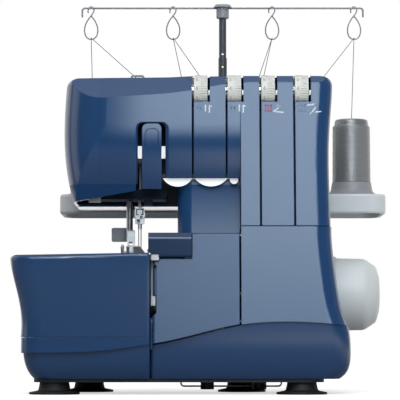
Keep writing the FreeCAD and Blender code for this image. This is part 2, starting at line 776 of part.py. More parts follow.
def extension_bed():
    """Removable bed that slides off the free arm to the left."""
    levels = [(z, BED_LEFT + side, BED_RIGHT, BED_FRONT + tuck, BODY_REAR) for z, side, tuck in BED_ROWS]
    body = stack(levels, 0, BED_CORNERS).cut(bed_slope()).cut(arm_room(ARM_GAP))
    body = body.makeFillet(BED_ROUND, rim_edges(body))
    hollow = stack(levels, WALL, BED_CORNERS).common(room(x1=BED_RIGHT - WALL, z1=BED_TOP - 2 * WALL))
    return body.cut(hollow.cut(arm_room(ARM_GAP + WALL))).removeSplitter()


# Upper shell

def crest_room(inset):
    """What is taken off above the crest that crosses the top of the front."""
    rise = math.tan(math.radians(CREST_SLOPE))
    drop = inset / math.cos(math.radians(CREST_SLOPE))
    start = front_at(CREST[-1][1])
    line = curve([(x, start - 30, z - 30 * rise - drop) for x, z in CREST])
    return region(line, BODY_TOP + 30, V(0, 120, 120 * rise))


def upper_body(inset):
    """The head and the tension tower before any cut, lofted up to the rounded top."""
    rows = UPPER_ROWS[:-1] + [(BODY_TOP - inset,) + UPPER_ROWS[-1][1:]]
    levels = [(z, HEAD_LEFT + side, BODY_RIGHT + flare, front_at(z), BODY_REAR) for z, side, flare in rows]
    body = stack(levels, inset, UPPER_CORNERS)
    rim = [e for e in body.Edges if min(v.Z for v in e.Vertexes) > BODY_TOP - inset - 0.01]
    return body.makeFillet(TOP_ROUND - inset, rim).cut(crest_room(inset))


def undercut(inset):
    """What is taken off the head's front, where it curves back under."""
    slope = math.atan(FRONT_LEAN)
    y = front_at(UNDERCUT_TOP) + UNDERCUT_RADIUS * math.cos(slope)
    z = UNDERCUT_TOP - UNDERCUT_RADIUS * math.sin(slope)
    block = box(-FAR, STEP_X + inset, -FAR, NEEDLE_Y, CASING_TOP - 60, UNDERCUT_TOP)
    return block.cut(rod_x(-FAR, STEP_X + 10, y, z, UNDERCUT_RADIUS - inset))


def head_lip():
    """The space under the head: its front edge rises from the left corner."""
    corner, bend = LIP_CORNER
    corners = [(-FAR, 100, 0), (-FAR, HEAD_UNDER, 0), (corner, HEAD_UNDER, bend),
               (WINDOW_LEFT, LIP_MIDDLE, 0),
               (WINDOW_RIGHT, LIP_STEP, 0), (WINDOW_RIGHT, LIP_HEIGHT, 0), (STEP_X, LIP_HEIGHT, 0),
               (STEP_X, 100, 0)]
    front = prism(corners, on_xz(-FAR), V(0, FAR + COVER_SPLIT, 0))
    return front.fuse(room(x1=COLUMN_LEFT, y0=COVER_SPLIT, z0=100, z1=HEAD_UNDER))


def column(inset):
    """The post between the casing and the head, with its rounded front edge."""
    levels = [(PANEL_FOOT - inset, COLUMN_LEFT, STEP_X + 20, COLUMN_FRONT, BODY_REAR),
              (COLUMN_TOP, COLUMN_LEFT, STEP_X + 20, COLUMN_FRONT + COLUMN_LEAN, BODY_REAR)]
    beside = room(x0=STEP_X - SEAM - inset, z1=CASING_TOP + SEAM - inset)
    return stack(levels, inset, COLUMN_CORNERS).cut(beside)


def upper_solid(inset):
    body = upper_body(inset)
    right = body.common(room(x0=STEP_X + inset, z0=CASING_TOP + SEAM - inset))
    head = body.common(room(x1=STEP_X + inset, z0=PANEL_FOOT + 5)).cut(undercut(inset))
    if inset:
        head = head.cut(room(x1=COLUMN_LEFT + inset, y0=COVER_SPLIT, z1=HEAD_UNDER + inset))
    else:
        head = head.cut(head_lip())
    return right.fuse(head).fuse(column(inset))


def upper_shell():
    """The hollow shell of head, tower and column, with the column's front closed up to the lips."""
    post = column(0)
    skin = post.cut(post.translated(V(0, WALL, 0))).common(room(x1=STEP_X + WALL, z1=LIP_HEIGHT))
    return upper_solid(0).cut(upper_solid(WALL)).fuse(skin)


def dial_centres():
    return [DIAL_FIRST + i * DIAL_PITCH for i in range(DIAL_COUNT)]


def slot_centre(dial_x):
    return dial_x - DIAL_WIDTH / 2 - SLOT_WALL - SLOT_WIDTH / 2


def dial_notch(x):
    """The space a dial turns in, open to the front and the top."""
    left = slot_centre(x) - SLOT_WIDTH / 2
    right = x + DIAL_WIDTH / 2 + DIAL_SIDE_GAP
    round_part = rod_x(left, right, DIAL_Y, DIAL_Z, DIAL_RADIUS + DIAL_GAP)
    return round_part.fuse(box(left, right, DIAL_Y - 30, DIAL_Y, DIAL_Z - 11, DIAL_Z + 40))


def thread_channels():
    """Four thread slots: the left pair end at the guide lips, the right pair at the seam."""
    cuts = []
    for i, x in enumerate(dial_centres()):
        middle = slot_centre(x)
        foot = LIP_HEIGHT - 1 if i < 2 else CASING_TOP
        cuts.append(room(x0=middle - SLOT_WIDTH / 2, x1=middle + SLOT_WIDTH / 2, y1=SLOT_REAR, z0=foot))
    return cuts


def take_up_window():
    corners = [(WINDOW_LEFT, PANEL_FOOT + 5, 0), (WINDOW_RIGHT, PANEL_FOOT + 5, 0),
               (WINDOW_RIGHT, WINDOW_TOP, 6),
               (WINDOW_LEFT, WINDOW_TOP, 6)]
    return prism(corners, on_xz(-FAR), V(0, FAR + DIAL_Y, 0))


def upper_front_cover():
    """Front shell of the head and the tension tower."""
    cover = SHELL.common(room(y1=COVER_SPLIT - SEAM / 2)).cut(take_up_window())
    for x in dial_centres():
        cover = cover.cut(dial_notch(x))
    for slot in thread_channels():
        cover = cover.cut(slot)
    return cover.removeSplitter()


def rear_cover():
    """Rear shell of the head and the tower, with cooling slots and a slot for the lifter below."""
    cover = SHELL.common(room(y0=COVER_SPLIT + SEAM / 2))
    slot = room(x0=LIFTER_X - LIFTER_SLOT, x1=LIFTER_X + LIFTER_SLOT, y1=BODY_REAR - 15,
                z1=HEAD_UNDER + WALL + 1)
    cover = cover.cut(slot)
    for i in range(VENT_COUNT):
        x = VENT_FIRST + i * VENT_PITCH
        slot = rounded(x, x + VENT_WIDTH, VENT_FOOT, VENT_TOP, VENT_WIDTH / 2 - 0.1)
        cover = cover.cut(prism(slot, on_xz(BODY_REAR - 15), V(0, 30, 0)))
    return cover.removeSplitter()


def arch_line(grow, depth):
    """The outline engraved on the tongue, as a block."""
    left, right = TONGUE_LEFT + LINE_INSET + grow, TONGUE_RIGHT - LINE_INSET - grow
    top = WINDOW_TOP - TONGUE_GAP - LINE_INSET - 2 - grow
    corners = [(left, top - LINE_LENGTH - 5 * grow, 0), (right, top - LINE_LENGTH - 5 * grow, 0),
               (right, top, 5 - grow), (left, top, 5 - grow)]
    return prism(corners, on_xz(-FAR), V(0, FAR + depth, 0))


def take_up_tongue():
    """Centre tongue of the take-up window, carried on a stalk from the head frame."""
    top = WINDOW_TOP - TONGUE_GAP
    corners = [(TONGUE_LEFT, LIP_STEP - 0.5, 0), (TONGUE_RIGHT, LIP_STEP - 0.5, 0), (TONGUE_RIGHT, top, 5),
               (TONGUE_LEFT, top, 5)]
    face = SHELL.common(prism(corners, on_xz(-FAR), V(0, FAR + DIAL_Y, 0)))
    engraved = SHELL.common(arch_line(0, DIAL_Y).cut(arch_line(LINE_WIDTH, DIAL_Y + 1)))
    face.translate(V(0, TONGUE_SINK, 0))
    engraved.translate(V(0, TONGUE_SINK - WALL + LINE_DEPTH, 0))
    middle = (TONGUE_LEFT + TONGUE_RIGHT) / 2
    stalk = box(middle - 4, middle + 4, front_at(top) + TONGUE_SINK + 1.0, HEAD_FRAME_FRONT, top - 8.3,
                top - 2.8)
    return face.cut(engraved).fuse(stalk).removeSplitter()


# Cast frame and drive

def head_frame():
    """Cast head: upper and lower bar guides joined by a wall on the left, with a boss below."""
    left, right = HEAD_FRAME_LEFT, HEAD_FRAME_RIGHT
    wall = left + HEAD_FRAME_WALL
    corners = [(left, HEAD_FRAME_FOOT, 4), (right, HEAD_FRAME_FOOT, 4), (right, LOW_GUIDE_TOP, 3),
               (wall, LOW_GUIDE_TOP, 6), (wall, BAR_GUIDE_LOW, 6), (right, BAR_GUIDE_LOW, 3),
               (right, BAR_GUIDE_TOP, 4), (left, BAR_GUIDE_TOP, 8)]
    body = prism(corners, on_xz(HEAD_FRAME_FRONT), V(0, FRAME_FRONT - HEAD_FRAME_FRONT, 0))
    hole = rounded(wall + 3, wall + 21, BAR_GUIDE_LOW + 4, BAR_GUIDE_TOP - 4, 4)
    body = body.cut(prism(hole, on_xz(HEAD_FRAME_FRONT - 10), V(0, 100, 0)))
    boss_left, boss_right, boss_foot = BOSS
    body = body.fuse(box(boss_left, boss_right, HEAD_FRAME_FRONT - 4, HEAD_FRAME_FRONT + 6, boss_foot,
                         HEAD_FRAME_FOOT + 2))
    body = body.cut(rod_z(NEEDLE_X, NEEDLE_Y, 0, FAR, NEEDLE_BAR + RUN_FIT))
    return body.cut(rod_z(PRESSER_X, PRESSER_Y, 0, FAR, PRESSER_BAR + RUN_FIT)).removeSplitter()


def main_frame():
    """Cast frame: base rail, column, upper arm and the short arm that carries the loopers."""
    left, right = FRAME_COLUMN
    stub, foot, top = LOOPER_ARM
    bearing = BUSHES[-1]
    corners = [(stub, top, 5), (stub, foot, 5), (-34, foot, 6), (-34, RAIL_TOP - 4, 6),
               (RAIL_LEFT, RAIL_TOP - 4, 3),
               (RAIL_LEFT, BASE_TOP, 0), (bearing[1], BASE_TOP, 0), (bearing[1], top, 6),
               (bearing[0], top, 3),
               (bearing[0], RAIL_TOP, 8), (right, RAIL_TOP, 10), (right, FRAME_TOP, 8), (left, FRAME_TOP, 4),
               (left, ARM_TOP, 0), (HEAD_FRAME_LEFT, ARM_TOP, 8), (HEAD_FRAME_LEFT, BAR_GUIDE_LOW - 3, 8),
               (left, BAR_GUIDE_LOW - 3, 14), (left, top, 8)]
    frame = prism(corners, on_xz(FRAME_FRONT), V(0, FRAME_REAR - FRAME_FRONT, 0))
    for z0, z1 in FRAME_HOLES:
        frame = frame.cut(prism(rounded(left + 10, right - 10, z0, z1, 6), on_xz(FRAME_FRONT - 20),
                                V(0, 80, 0)))
    frame = frame.cut(rod_x(-FAR, FAR, WHEEL_Y, WHEEL_Z, SHAFT_RADIUS + BUSH_WALL))
    for x, z in (LOWER_LOOPER_PIVOT, UPPER_LOOPER_PIVOT):
        frame = frame.cut(rod_y(x, FRAME_FRONT - 20, PIVOT_SEAT, z, PIVOT_RADIUS + RUN_FIT))
    frame = frame.cut(rod_y(FEED_X, FRAME_FRONT - 20, PIVOT_SEAT + 2, FEED_Z, FEED_ROD + RUN_FIT))
    lug = box(LIFTER_X - 10, LIFTER_X - 4, LIFTER_Y - 6, LIFTER_Y + 6, LIFTER_Z - 6, BAR_GUIDE_LOW + 2)
    stud = rod_x(LIFTER_X - 5, LIFTER_X + 4, LIFTER_Y, LIFTER_Z, LIFTER_STUD)
    return fuse([frame, lug, stud])


def shaft_bushes():
    """Bronze bushes that carry the main shaft in the frame."""
    rings = []
    for start, end in BUSHES:
        ring = rod_x(start, end, WHEEL_Y, WHEEL_Z, SHAFT_RADIUS + BUSH_WALL)
        rings.append(ring.cut(rod_x(start - 1, end + 1, WHEEL_Y, WHEEL_Z, SHAFT_RADIUS + RUN_FIT)))
    return Part.makeCompound(rings)


def main_shaft():
    """Shaft across the base with the two looper eccentrics."""
    shaft = rod_x(SHAFT_LEFT, WHEEL_END - SHAFT_IN_WHEEL, WHEEL_Y, WHEEL_Z, SHAFT_RADIUS)
    for x in ECCENTRICS:
        shaft = shaft.fuse(rod_x(x, x + ECCENTRIC_WIDTH, WHEEL_Y + ECCENTRIC_THROW, WHEEL_Z,
                                 ECCENTRIC_RADIUS))
    return shaft.removeSplitter()


def handwheel():
    """Rounded handwheel with a grip band and a dished end."""
    r, x0, x1 = WHEEL_RADIUS, WHEEL_START, WHEEL_END
    dish = x1 - SHAFT_IN_WHEEL / 2
    half = [(x0, SHAFT_RADIUS, 0), (x0, 14, 0), (x0 + 6, 14, 2), (x0 + 6, r - 4, 2), (x0, r - 4, 1),
            (x0, r - 1, 1),
            (x0 + 6, r, 4), (x1 - 14, r - 0.6, 10), (x1 - 3, r - 8, 6), (x1, 16, 3), (dish, 12, 3),
            (dish, SHAFT_RADIUS, 0)]
    wheel = turned_x(half, WHEEL_Y, WHEEL_Z)
    return wheel.fuse(rod_x(x1 - SHAFT_IN_WHEEL, dish, WHEEL_Y, WHEEL_Z, SHAFT_RADIUS)).removeSplitter()


def pulley(y, z, rim, bore):
    """A flanged belt pulley on an X shaft."""
    half = BELT_WIDTH / 2 + CLEAR
    left, right, lip = BELT_X - half, BELT_X + half, rim + FLANGE_RISE
    corners = [(left - FLANGE, bore, 0), (left - FLANGE, lip, 0), (left, lip, 0), (left, rim, 0),
               (right, rim, 0),
               (right, lip, 0), (right + FLANGE, lip, 0), (right + FLANGE, bore, 0)]
    return turned_x(corners, y, z)


def drive_pulley():
    return pulley(WHEEL_Y, WHEEL_Z, BIG_PULLEY, SHAFT_RADIUS)


def motor_pulley():
    """Pulley and the motor's shaft."""
    start = MOTOR_LEFT + MOTOR_LENGTH - SHAFT_HOLD
    shaft = rod_x(start, BELT_X + BELT_WIDTH, MOTOR_Y, MOTOR_Z, MOTOR_SHAFT)
    return pulley(MOTOR_Y, MOTOR_Z, SMALL_PULLEY, MOTOR_SHAFT).fuse(shaft).removeSplitter()


def belt_loop(grow):
    """Two pulley discs and the straight runs between them."""
    y0, z0, r0 = WHEEL_Y, WHEEL_Z, BIG_PULLEY + grow
    y1, z1, r1 = MOTOR_Y, MOTOR_Z, SMALL_PULLEY + grow
    span = math.hypot(y1 - y0, z1 - z0)
    heading = math.atan2(z1 - z0, y1 - y0)
    lean = math.acos((r0 - r1) / span)
    corners = []
    for angle in (heading + lean, heading - lean):
        pair = [(y0 + r0 * math.cos(angle), z0 + r0 * math.sin(angle), 0),
                (y1 + r1 * math.cos(angle), z1 + r1 * math.sin(angle), 0)]
        corners += pair if angle > heading else pair[::-1]
    x = BELT_X - BELT_WIDTH / 2
    runs = prism(corners, on_yz(x), V(BELT_WIDTH, 0, 0))
    return runs.fuse(rod_x(x, x + BELT_WIDTH, y0, z0, r0)).fuse(rod_x(x, x + BELT_WIDTH, y1, z1, r1))


def drive_belt():
    return belt_loop(CLEAR + BELT_THICK).cut(belt_loop(CLEAR)).removeSplitter()


def motor():
    """Motor can with end bells, a foot and a bearing for its shaft."""
    x0, x1 = MOTOR_LEFT, MOTOR_LEFT + MOTOR_LENGTH
    half = [(x0, 0, 0), (x0, 10, 0), (x0 + 6, MOTOR_RADIUS, 5), (x1 - 6, MOTOR_RADIUS, 5), (x1, 10, 0),
            (x1, 0, 0)]
    foot = prism([(MOTOR_Y - 16, BASE_TOP, 0), (MOTOR_Y + 16, BASE_TOP, 0), (MOTOR_Y + 10, MOTOR_Z, 0),
                  (MOTOR_Y - 10, MOTOR_Z, 0)], on_yz(x0 + 16), V(28, 0, 0))
    bearing = rod_x(x1 - SHAFT_HOLD - 1, BELT_X, MOTOR_Y, MOTOR_Z, MOTOR_SHAFT + RUN_FIT)
    return turned_x(half, MOTOR_Y, MOTOR_Z).fuse(foot).cut(bearing).removeSplitter()


# Free arm, needle plate, feed, loopers and knives

def plate_opening(gap):
    return plate_xy(PLATE_LEFT - gap, PLATE_RIGHT + gap, PLATE_FRONT - gap, PLATE_REAR + gap,
                    BED_TOP - WALL - 10,
                    BED_TOP + PLATE_PROUD, 3.0)


def free_arm_casing():
    """Narrow arm under the extension bed, with the deck behind the chip guard."""
    levels = [(z, ARM_LEFT, BED_RIGHT, ARM_FRONT, ARM_REAR) for z in (ARM_FOOT, BED_TOP)]
    inside = room(z0=ARM_FOOT + WALL, z1=BED_TOP - WALL)
    arm = stack(levels, 0, ARM_CORNERS).cut(stack(levels, WALL, ARM_CORNERS).common(inside))
    arm = arm.cut(inside.common(room(x0=BED_RIGHT - 4, y0=ARM_FRONT + WALL, y1=ARM_REAR - WALL)))
    deck = box(BED_RIGHT, COLUMN_LEFT - SEAM, DECK_FRONT, BODY_REAR - 1, BED_TOP - WALL, BED_TOP)
    return arm.fuse(deck).cut(plate_opening(PLATE_GAP)).removeSplitter()


def needle_plate():
    """Needle plate with slots for the needles, the feed dogs and the knives."""
    plate = plate_opening(0).common(room(z0=BED_TOP - WALL))
    for x in needle_positions():
        plate = plate.cut(room(x0=x - 1, x1=x + 1, y0=NEEDLE_Y - 3, y1=NEEDLE_Y + 3))
    for x in FEED_ROWS:
        half = FEED_HALF + SEAM
        plate = plate.cut(room(x0=x - half, x1=x + half, y0=FEED_FRONT - 4, y1=FEED_END + 4))
    return plate.cut(room(x0=KNIFE_X - 2.6, x1=PLATE_RIGHT - 6, y0=KNIFE_STEM_Y - 5.4,
                          y1=KNIFE_STEM_Y + 18.6))


def feed_dogs():
    """Two toothed rows on one bar, carried by a guide rod in the frame."""
    start = FEED_END - 6
    bar = box(FEED_ROWS[0] - FEED_HALF, FEED_X + FEED_ROD, start, FEED_END, FEED_Z - FEED_ROD, BED_TOP - 9.5)
    pitch = (FEED_END - FEED_FRONT) / (FEED_TEETH + 1)
    rows = []
    for x in FEED_ROWS:
        row = box(x - FEED_HALF, x + FEED_HALF, FEED_FRONT, FEED_END, BED_TOP - 14.5, BED_TOP + FEED_RISE)
        for i in range(FEED_TEETH):
            y = FEED_FRONT + pitch * (i + 1)
            notch = [(y - 0.8, BED_TOP + 2, 0), (y, BED_TOP, 0), (y + 0.8, BED_TOP + 2, 0)]
            row = row.cut(prism(notch, on_yz(x - 2), V(4, 0, 0)))
        rows.append(row)
    return fuse([bar, rod_y(FEED_X, start, PIVOT_SEAT, FEED_Z, FEED_ROD)] + rows)


def looper(pivot, tip, y, hook):
    """A forged looper arm on its rocking shaft."""
    (x0, z0), (x1, z1) = pivot, tip
    side = math.copysign(1.0, hook)
    arm = prism([(x0 - 5 * side, z0, 3), (x0 + 5 * side, z0 - 2, 3), (x1 + 5 * side, z1 - 2, 3),
                 (x1 + hook, z1 + 1.5, 0), (x1, z1 + 2.5, 1), (x1 - 3 * side, z1 - 4, 2)],
                on_xz(y), V(0, LOOPER_THICK, 0))
    hub = rod_y(x0, y, FRAME_FRONT - CLEAR, z0, LOOPER_HUB)
    return fuse([arm, hub, rod_y(x0, FRAME_FRONT - 1, PIVOT_SEAT, z0, PIVOT_RADIUS)])


def lower_looper():
    return looper(LOWER_LOOPER_PIVOT, LOWER_LOOPER_TIP, LOWER_LOOPER_Y, LOWER_LOOPER_HOOK)


def upper_looper():
    return looper(UPPER_LOOPER_PIVOT, UPPER_LOOPER_TIP, UPPER_LOOPER_Y, UPPER_LOOPER_HOOK)


def lower_knife():
    """Fixed blade on a holder that stands on the free arm's front wall."""
    left = KNIFE_X - 2.2
    blade = box(left, left + 1.4, KNIFE_STEM_Y - 3.4, KNIFE_STEM_Y + 2.6, HOLDER_TOP - 2, BED_TOP + 0.2)
    holder = box(left, KNIFE_X + 3.1, ARM_FRONT + WALL, KNIFE_STEM_Y + 3.1, HOLDER_TOP - 12, HOLDER_TOP)
    return fuse([blade, holder]).cut(rod_z(KNIFE_STEM_X, KNIFE_STEM_Y, 0, BED_TOP, KNIFE_STEM + RUN_FIT))


def upper_knife():
    """Moving blade on a round stem that slides in the knife holder."""
    y = KNIFE_STEM_Y
    stem = rod_z(KNIFE_STEM_X, y, HOLDER_TOP - 22, HOLDER_TOP + 14, KNIFE_STEM)
    foot = HOLDER_TOP + 10
    blade = prism([(y - 3.9, foot, 0), (y + 2.6, foot, 0), (y + 2.6, BED_TOP + 7.5, 2),
                   (y - 3.9, BED_TOP + 3.5, 1)],
                  on_yz(KNIFE_X - 0.5), V(1.6, 0, 0))
    return stem.fuse(blade).removeSplitter()


# Tension units and thread guide lips

def channel_floors():
    """Dark floors behind the thread slots, hanging from the tension block."""
    floors = []
    for i, x in enumerate(dial_centres()):
        left, wide = slot_centre(x) - CHANNEL_HALF, V(2 * CHANNEL_HALF, 0, 0)
        top = BLOCK_FOOT + 2
        if i < 2:
            floors.append(box(left, left + wide.x, BLOCK_FRONT + 1, BLOCK_FRONT + 3, LIP_HEIGHT + 4.2, top))
            continue
        foot = CASING_TOP + 2
        corners = [(front_at(foot) + RIM_DEPTH, foot, 0), (front_at(foot) + RIM_DEPTH + 5, foot, 0),
                   (front_at(top) + RIM_DEPTH + 5, top, 0), (front_at(top) + RIM_DEPTH, top, 0)]
        floors.append(prism(corners, on_yz(left), wide))
    return floors


def tension_block():
    """Black carrier behind the panel with a pocket and a thread slot for each dial."""
    dials = dial_centres()
    left = slot_centre(dials[0]) - 8
    right = dials[-1] + DIAL_WIDTH / 2 + 10
    block = box(left, right, BLOCK_FRONT, FRAME_FRONT, BLOCK_FOOT, BLOCK_TOP).cut(crest_room(WALL + CLEAR))
    for x in dials:
        block = block.cut(dial_notch(x))
    for slot in thread_channels():
        block = block.cut(slot)
    axles = [rod_x(slot_centre(x) - 5, x + DIAL_WIDTH / 2 + 7, DIAL_Y, DIAL_Z, AXLE_RADIUS) for x in dials]
    return fuse([block] + axles + channel_floors())


def tension_discs():
    """A pair of discs in each thread slot."""
    discs = []
    for x in dial_centres():
        for side in (-1, 1):
            start = slot_centre(x) + side * DISC_GAP - DISC_THICK / 2
            disc = rod_x(start, start + DISC_THICK, DIAL_Y, DIAL_Z, DISC_RADIUS)
            discs.append(disc.cut(rod_x(start - 1, start + 2, DIAL_Y, DIAL_Z, AXLE_RADIUS)))
    return Part.makeCompound(discs)


def tension_dial(x):
    """Thumb dial: a smooth scale ring on the left, grip ridges on the right."""
    half = DIAL_WIDTH / 2
    corners = []
    for i in range(RIDGES):
        for share, radius in ((0.0, DIAL_RADIUS), (0.45, DIAL_RADIUS), (0.6, RIDGE_ROOT), (0.85, RIDGE_ROOT)):
            angle = 2 * math.pi * (i + share) / RIDGES
            corners.append((DIAL_Y + radius * math.cos(angle), DIAL_Z + radius * math.sin(angle), 0))
    grip = prism(corners, on_yz(x), V(half, 0, 0))
    dial = rod_x(x - half, x, DIAL_Y, DIAL_Z, DIAL_RADIUS).fuse(grip)
    return dial.cut(rod_x(x - half - 1, x + half + 1, DIAL_Y, DIAL_Z, AXLE_RADIUS + RUN_FIT))


def thread_guide_lips():
    """Polished guide plates under the head's front edge, each with a curved lower edge."""
    plates = []
    up = V(0, 0, 3.0)
    for left, right, drop in LIPS:
        a, b = V(left, LIP_Y, LIP_HEIGHT + CLEAR), V(right, LIP_Y, LIP_HEIGHT + CLEAR)
        low = V((left + right) / 2, LIP_Y, LIP_HEIGHT - drop)
        edges = [Part.Arc(a, low, b).toShape(), Part.makeLine(b, b + up), Part.makeLine(b + up, a + up),
                 Part.makeLine(a + up, a)]
        plates.append(Part.Face(Part.Wire(edges)).extrude(V(0, LIP_THICK, 0)))
    carrier = box(LIPS[0][0] + 8.9, LIPS[-1][1], LIP_Y + LIP_THICK, HEAD_FRAME_FRONT, LIP_HEIGHT + SEAM,
                  LIP_HEIGHT + 3.2)
    return fuse(plates + [carrier])


# Needle bar, take-up, presser and lamp

def lamp():
    """Small work lamp on the front of the lower bar guide."""
    return plate_xy(LAMP_LEFT, LAMP_RIGHT, HEAD_FRAME_FRONT - LAMP_DEPTH, HEAD_FRAME_FRONT, LAMP_FOOT,
                    LAMP_TOP, 1.5)


def needle_bar():
    return rod_z(NEEDLE_X, NEEDLE_Y, CLAMP_FOOT + BAR_SEAT, NEEDLE_BAR_TOP, NEEDLE_BAR)


def needle_positions():
    return [NEEDLE_X - NEEDLE_GAP / 2, NEEDLE_X + NEEDLE_GAP / 2]


def needle_clamp():
    """Clamp with a waist, a bore for the bar and two needle sockets."""
    corners = [(NEEDLE_X - 4.5, CLAMP_FOOT, 1), (NEEDLE_X + 4.2, CLAMP_FOOT, 1),
               (NEEDLE_X + 4.2, CLAMP_FOOT + 5.3, 1),
               (NEEDLE_X + 5.0, CLAMP_FOOT + 7.8, 1), (NEEDLE_X + 4.2, CLAMP_TOP, 2),
               (NEEDLE_X - 4.5, CLAMP_TOP, 2)]
    body = prism(corners, on_xz(NEEDLE_Y - CLAMP_DEPTH / 2), V(0, CLAMP_DEPTH, 0))
    body = body.cut(rod_z(NEEDLE_X, NEEDLE_Y, CLAMP_FOOT + BAR_SEAT, FAR, NEEDLE_BAR))
    for x in needle_positions():
        body = body.cut(rod_z(x, NEEDLE_Y, 0, CLAMP_FOOT + SOCKET_DEPTH, NEEDLE_SHANK))
    return body


def needles():
    """Two needles with a thick shank, a slim blade and a point."""
    top = CLAMP_FOOT + SOCKET_DEPTH
    half = [(0, NEEDLE_TIP, 0), (NEEDLE_BLADE, NEEDLE_TIP + 3, 0), (NEEDLE_BLADE, CLAMP_FOOT - 6, 0),
            (NEEDLE_SHANK, CLAMP_FOOT - 4, 0), (NEEDLE_SHANK, top, 0), (0, top, 0)]
    return Part.makeCompound([turned(half, x, NEEDLE_Y) for x in needle_positions()])


def clamp_screws():
    """Two socket screws that hold the needles, set on the clamp's face."""
    left, right = needle_positions()
    face = NEEDLE_Y - CLAMP_DEPTH / 2
    screws = []
    for x, z in ((left - 0.2, CLAMP_FOOT + 2.8), (right + 0.4, CLAMP_FOOT + 6.0)):
        head = rod_y(x, face - 1.6, face, z, SCREW_RADIUS)
        screws.append(head.cut(rod_y(x, face - 3, face - 0.8, z, SCREW_SOCKET)))
    return Part.makeCompound(screws)


def take_up_bar():
    """Needle-thread take-up: a cross bar behind the window, clamped to the needle bar."""
    rear = TAKE_UP_FRONT + TAKE_UP_THICK
    bar = plate_xy(WINDOW_LEFT - 1, WINDOW_RIGHT + 1, TAKE_UP_FRONT, rear, TAKE_UP_FOOT, TAKE_UP_TOP, 1.0)
    arm = box(NEEDLE_X - 2.5, NEEDLE_X + 2.5, rear - 0.8, NEEDLE_Y, TAKE_UP_FOOT - 3.6, TAKE_UP_FOOT + 2.4)
    collar = rod_z(NEEDLE_X, NEEDLE_Y, TAKE_UP_FOOT - 4.6, TAKE_UP_FOOT + 3.4, NEEDLE_BAR + 3)
    return fuse([bar, arm, collar]).cut(rod_z(NEEDLE_X, NEEDLE_Y, 0, FAR, NEEDLE_BAR))


def presser_bar():
    """Presser bar with the collar that the lifter raises."""
    bar = rod_z(PRESSER_X, PRESSER_Y, PRESSER_FOOT_END, PRESSER_TOP, PRESSER_BAR)
    collar = rod_z(PRESSER_X, PRESSER_Y, COLLAR_FOOT, COLLAR_FOOT + COLLAR_HEIGHT, PRESSER_BAR + 3)
    return bar.fuse(collar).removeSplitter()


def presser_ankle():
    """Pale clamp on the presser bar with two ears for the foot's pin."""
    x0, x1 = ANKLE_X - ANKLE_HALF, ANKLE_X + ANKLE_HALF
    rear, front, shelf = PRESSER_Y + 4, FOOT_PIN_Y - 2, FOOT_PIN_Z + 4.4
    side = [(rear, shelf, 0), (rear, ANKLE_TOP, 1.5), (PRESSER_Y - 4, ANKLE_TOP, 1.5),
            (PRESSER_Y - 5.5, ANKLE_TOP - 6, 2),
            (front, shelf, 1), (front, FOOT_PIN_Z - 1.8, 1.5), (front + 4, FOOT_PIN_Z - 1.8, 1.5),
            (front + 5, shelf, 0)]
    body = prism(side, on_yz(x0), V(x1 - x0, 0, 0))
    body = body.cut(rod_z(PRESSER_X, PRESSER_Y, 0, FAR, PRESSER_BAR))
    body = body.cut(room(x0=x0 + ANKLE_EAR, x1=x1 - ANKLE_EAR, y1=PRESSER_Y - 3, z1=shelf + 1))
    return body.cut(rod_x(-FAR, FAR, FOOT_PIN_Y, FOOT_PIN_Z, FOOT_PIN + RUN_FIT))


def presser_foot():
    """Foot with an upturned toe, a slanted right side, a needle opening and a lug on its pin."""
    top = FOOT_SOLE + SOLE_THICK
    heel, bend, toe = PRESSER_Y + 5, PRESSER_Y - 29, PRESSER_Y - 37
    side = [(heel, FOOT_SOLE, 0), (bend, FOOT_SOLE, 6), (toe, FOOT_SOLE + TOE_RISE, 0),
            (toe, top + TOE_RISE - 1.2, 0.6), (bend, top, 4), (heel, top, 0.6)]
    sole = prism(side, on_yz(SOLE_LEFT), V(SOLE_RIGHT - SOLE_LEFT, 0, 0))
    plan = [(SOLE_LEFT, heel, 0), (SOLE_RIGHT, heel, 2), (SOLE_RIGHT, bend, 3), (SOLE_RIGHT - 5, toe - 1, 0),
            (SOLE_LEFT, toe - 1, 1)]
    sole = sole.common(prism(plan, on_xy(0), V(0, 0, FAR)))
    sole = sole.cut(room(x0=NEEDLE_X - 4.9, x1=NEEDLE_X + 2.6, y0=NEEDLE_Y - 4, y1=NEEDLE_Y + 3.5))
    for start in (PRESSER_X - 5.5, PRESSER_X + 0.9):
        sole = sole.cut(room(x0=start, x1=start + 3.6, y1=PRESSER_Y - 25))
    x0, x1 = ANKLE_X - ANKLE_HALF + ANKLE_EAR + 0.2, ANKLE_X + ANKLE_HALF - ANKLE_EAR - 0.2
    lug = prism([(FOOT_PIN_Y - 4, top - 0.6, 0), (FOOT_PIN_Y + 4, top - 0.6, 0),
                 (FOOT_PIN_Y + 2.4, FOOT_PIN_Z + 2, 2),
                 (FOOT_PIN_Y - 2.4, FOOT_PIN_Z + 2, 2)], on_yz(x0), V(x1 - x0, 0, 0))
    rail = box(SOLE_LEFT, SOLE_LEFT + 1.9, bend + 2, heel - 2, top - 0.6, top + 5.9)
    pin = rod_x(ANKLE_X - ANKLE_HALF, ANKLE_X + ANKLE_HALF, FOOT_PIN_Y, FOOT_PIN_Z, FOOT_PIN)
    return fuse([sole, lug, rail, pin])


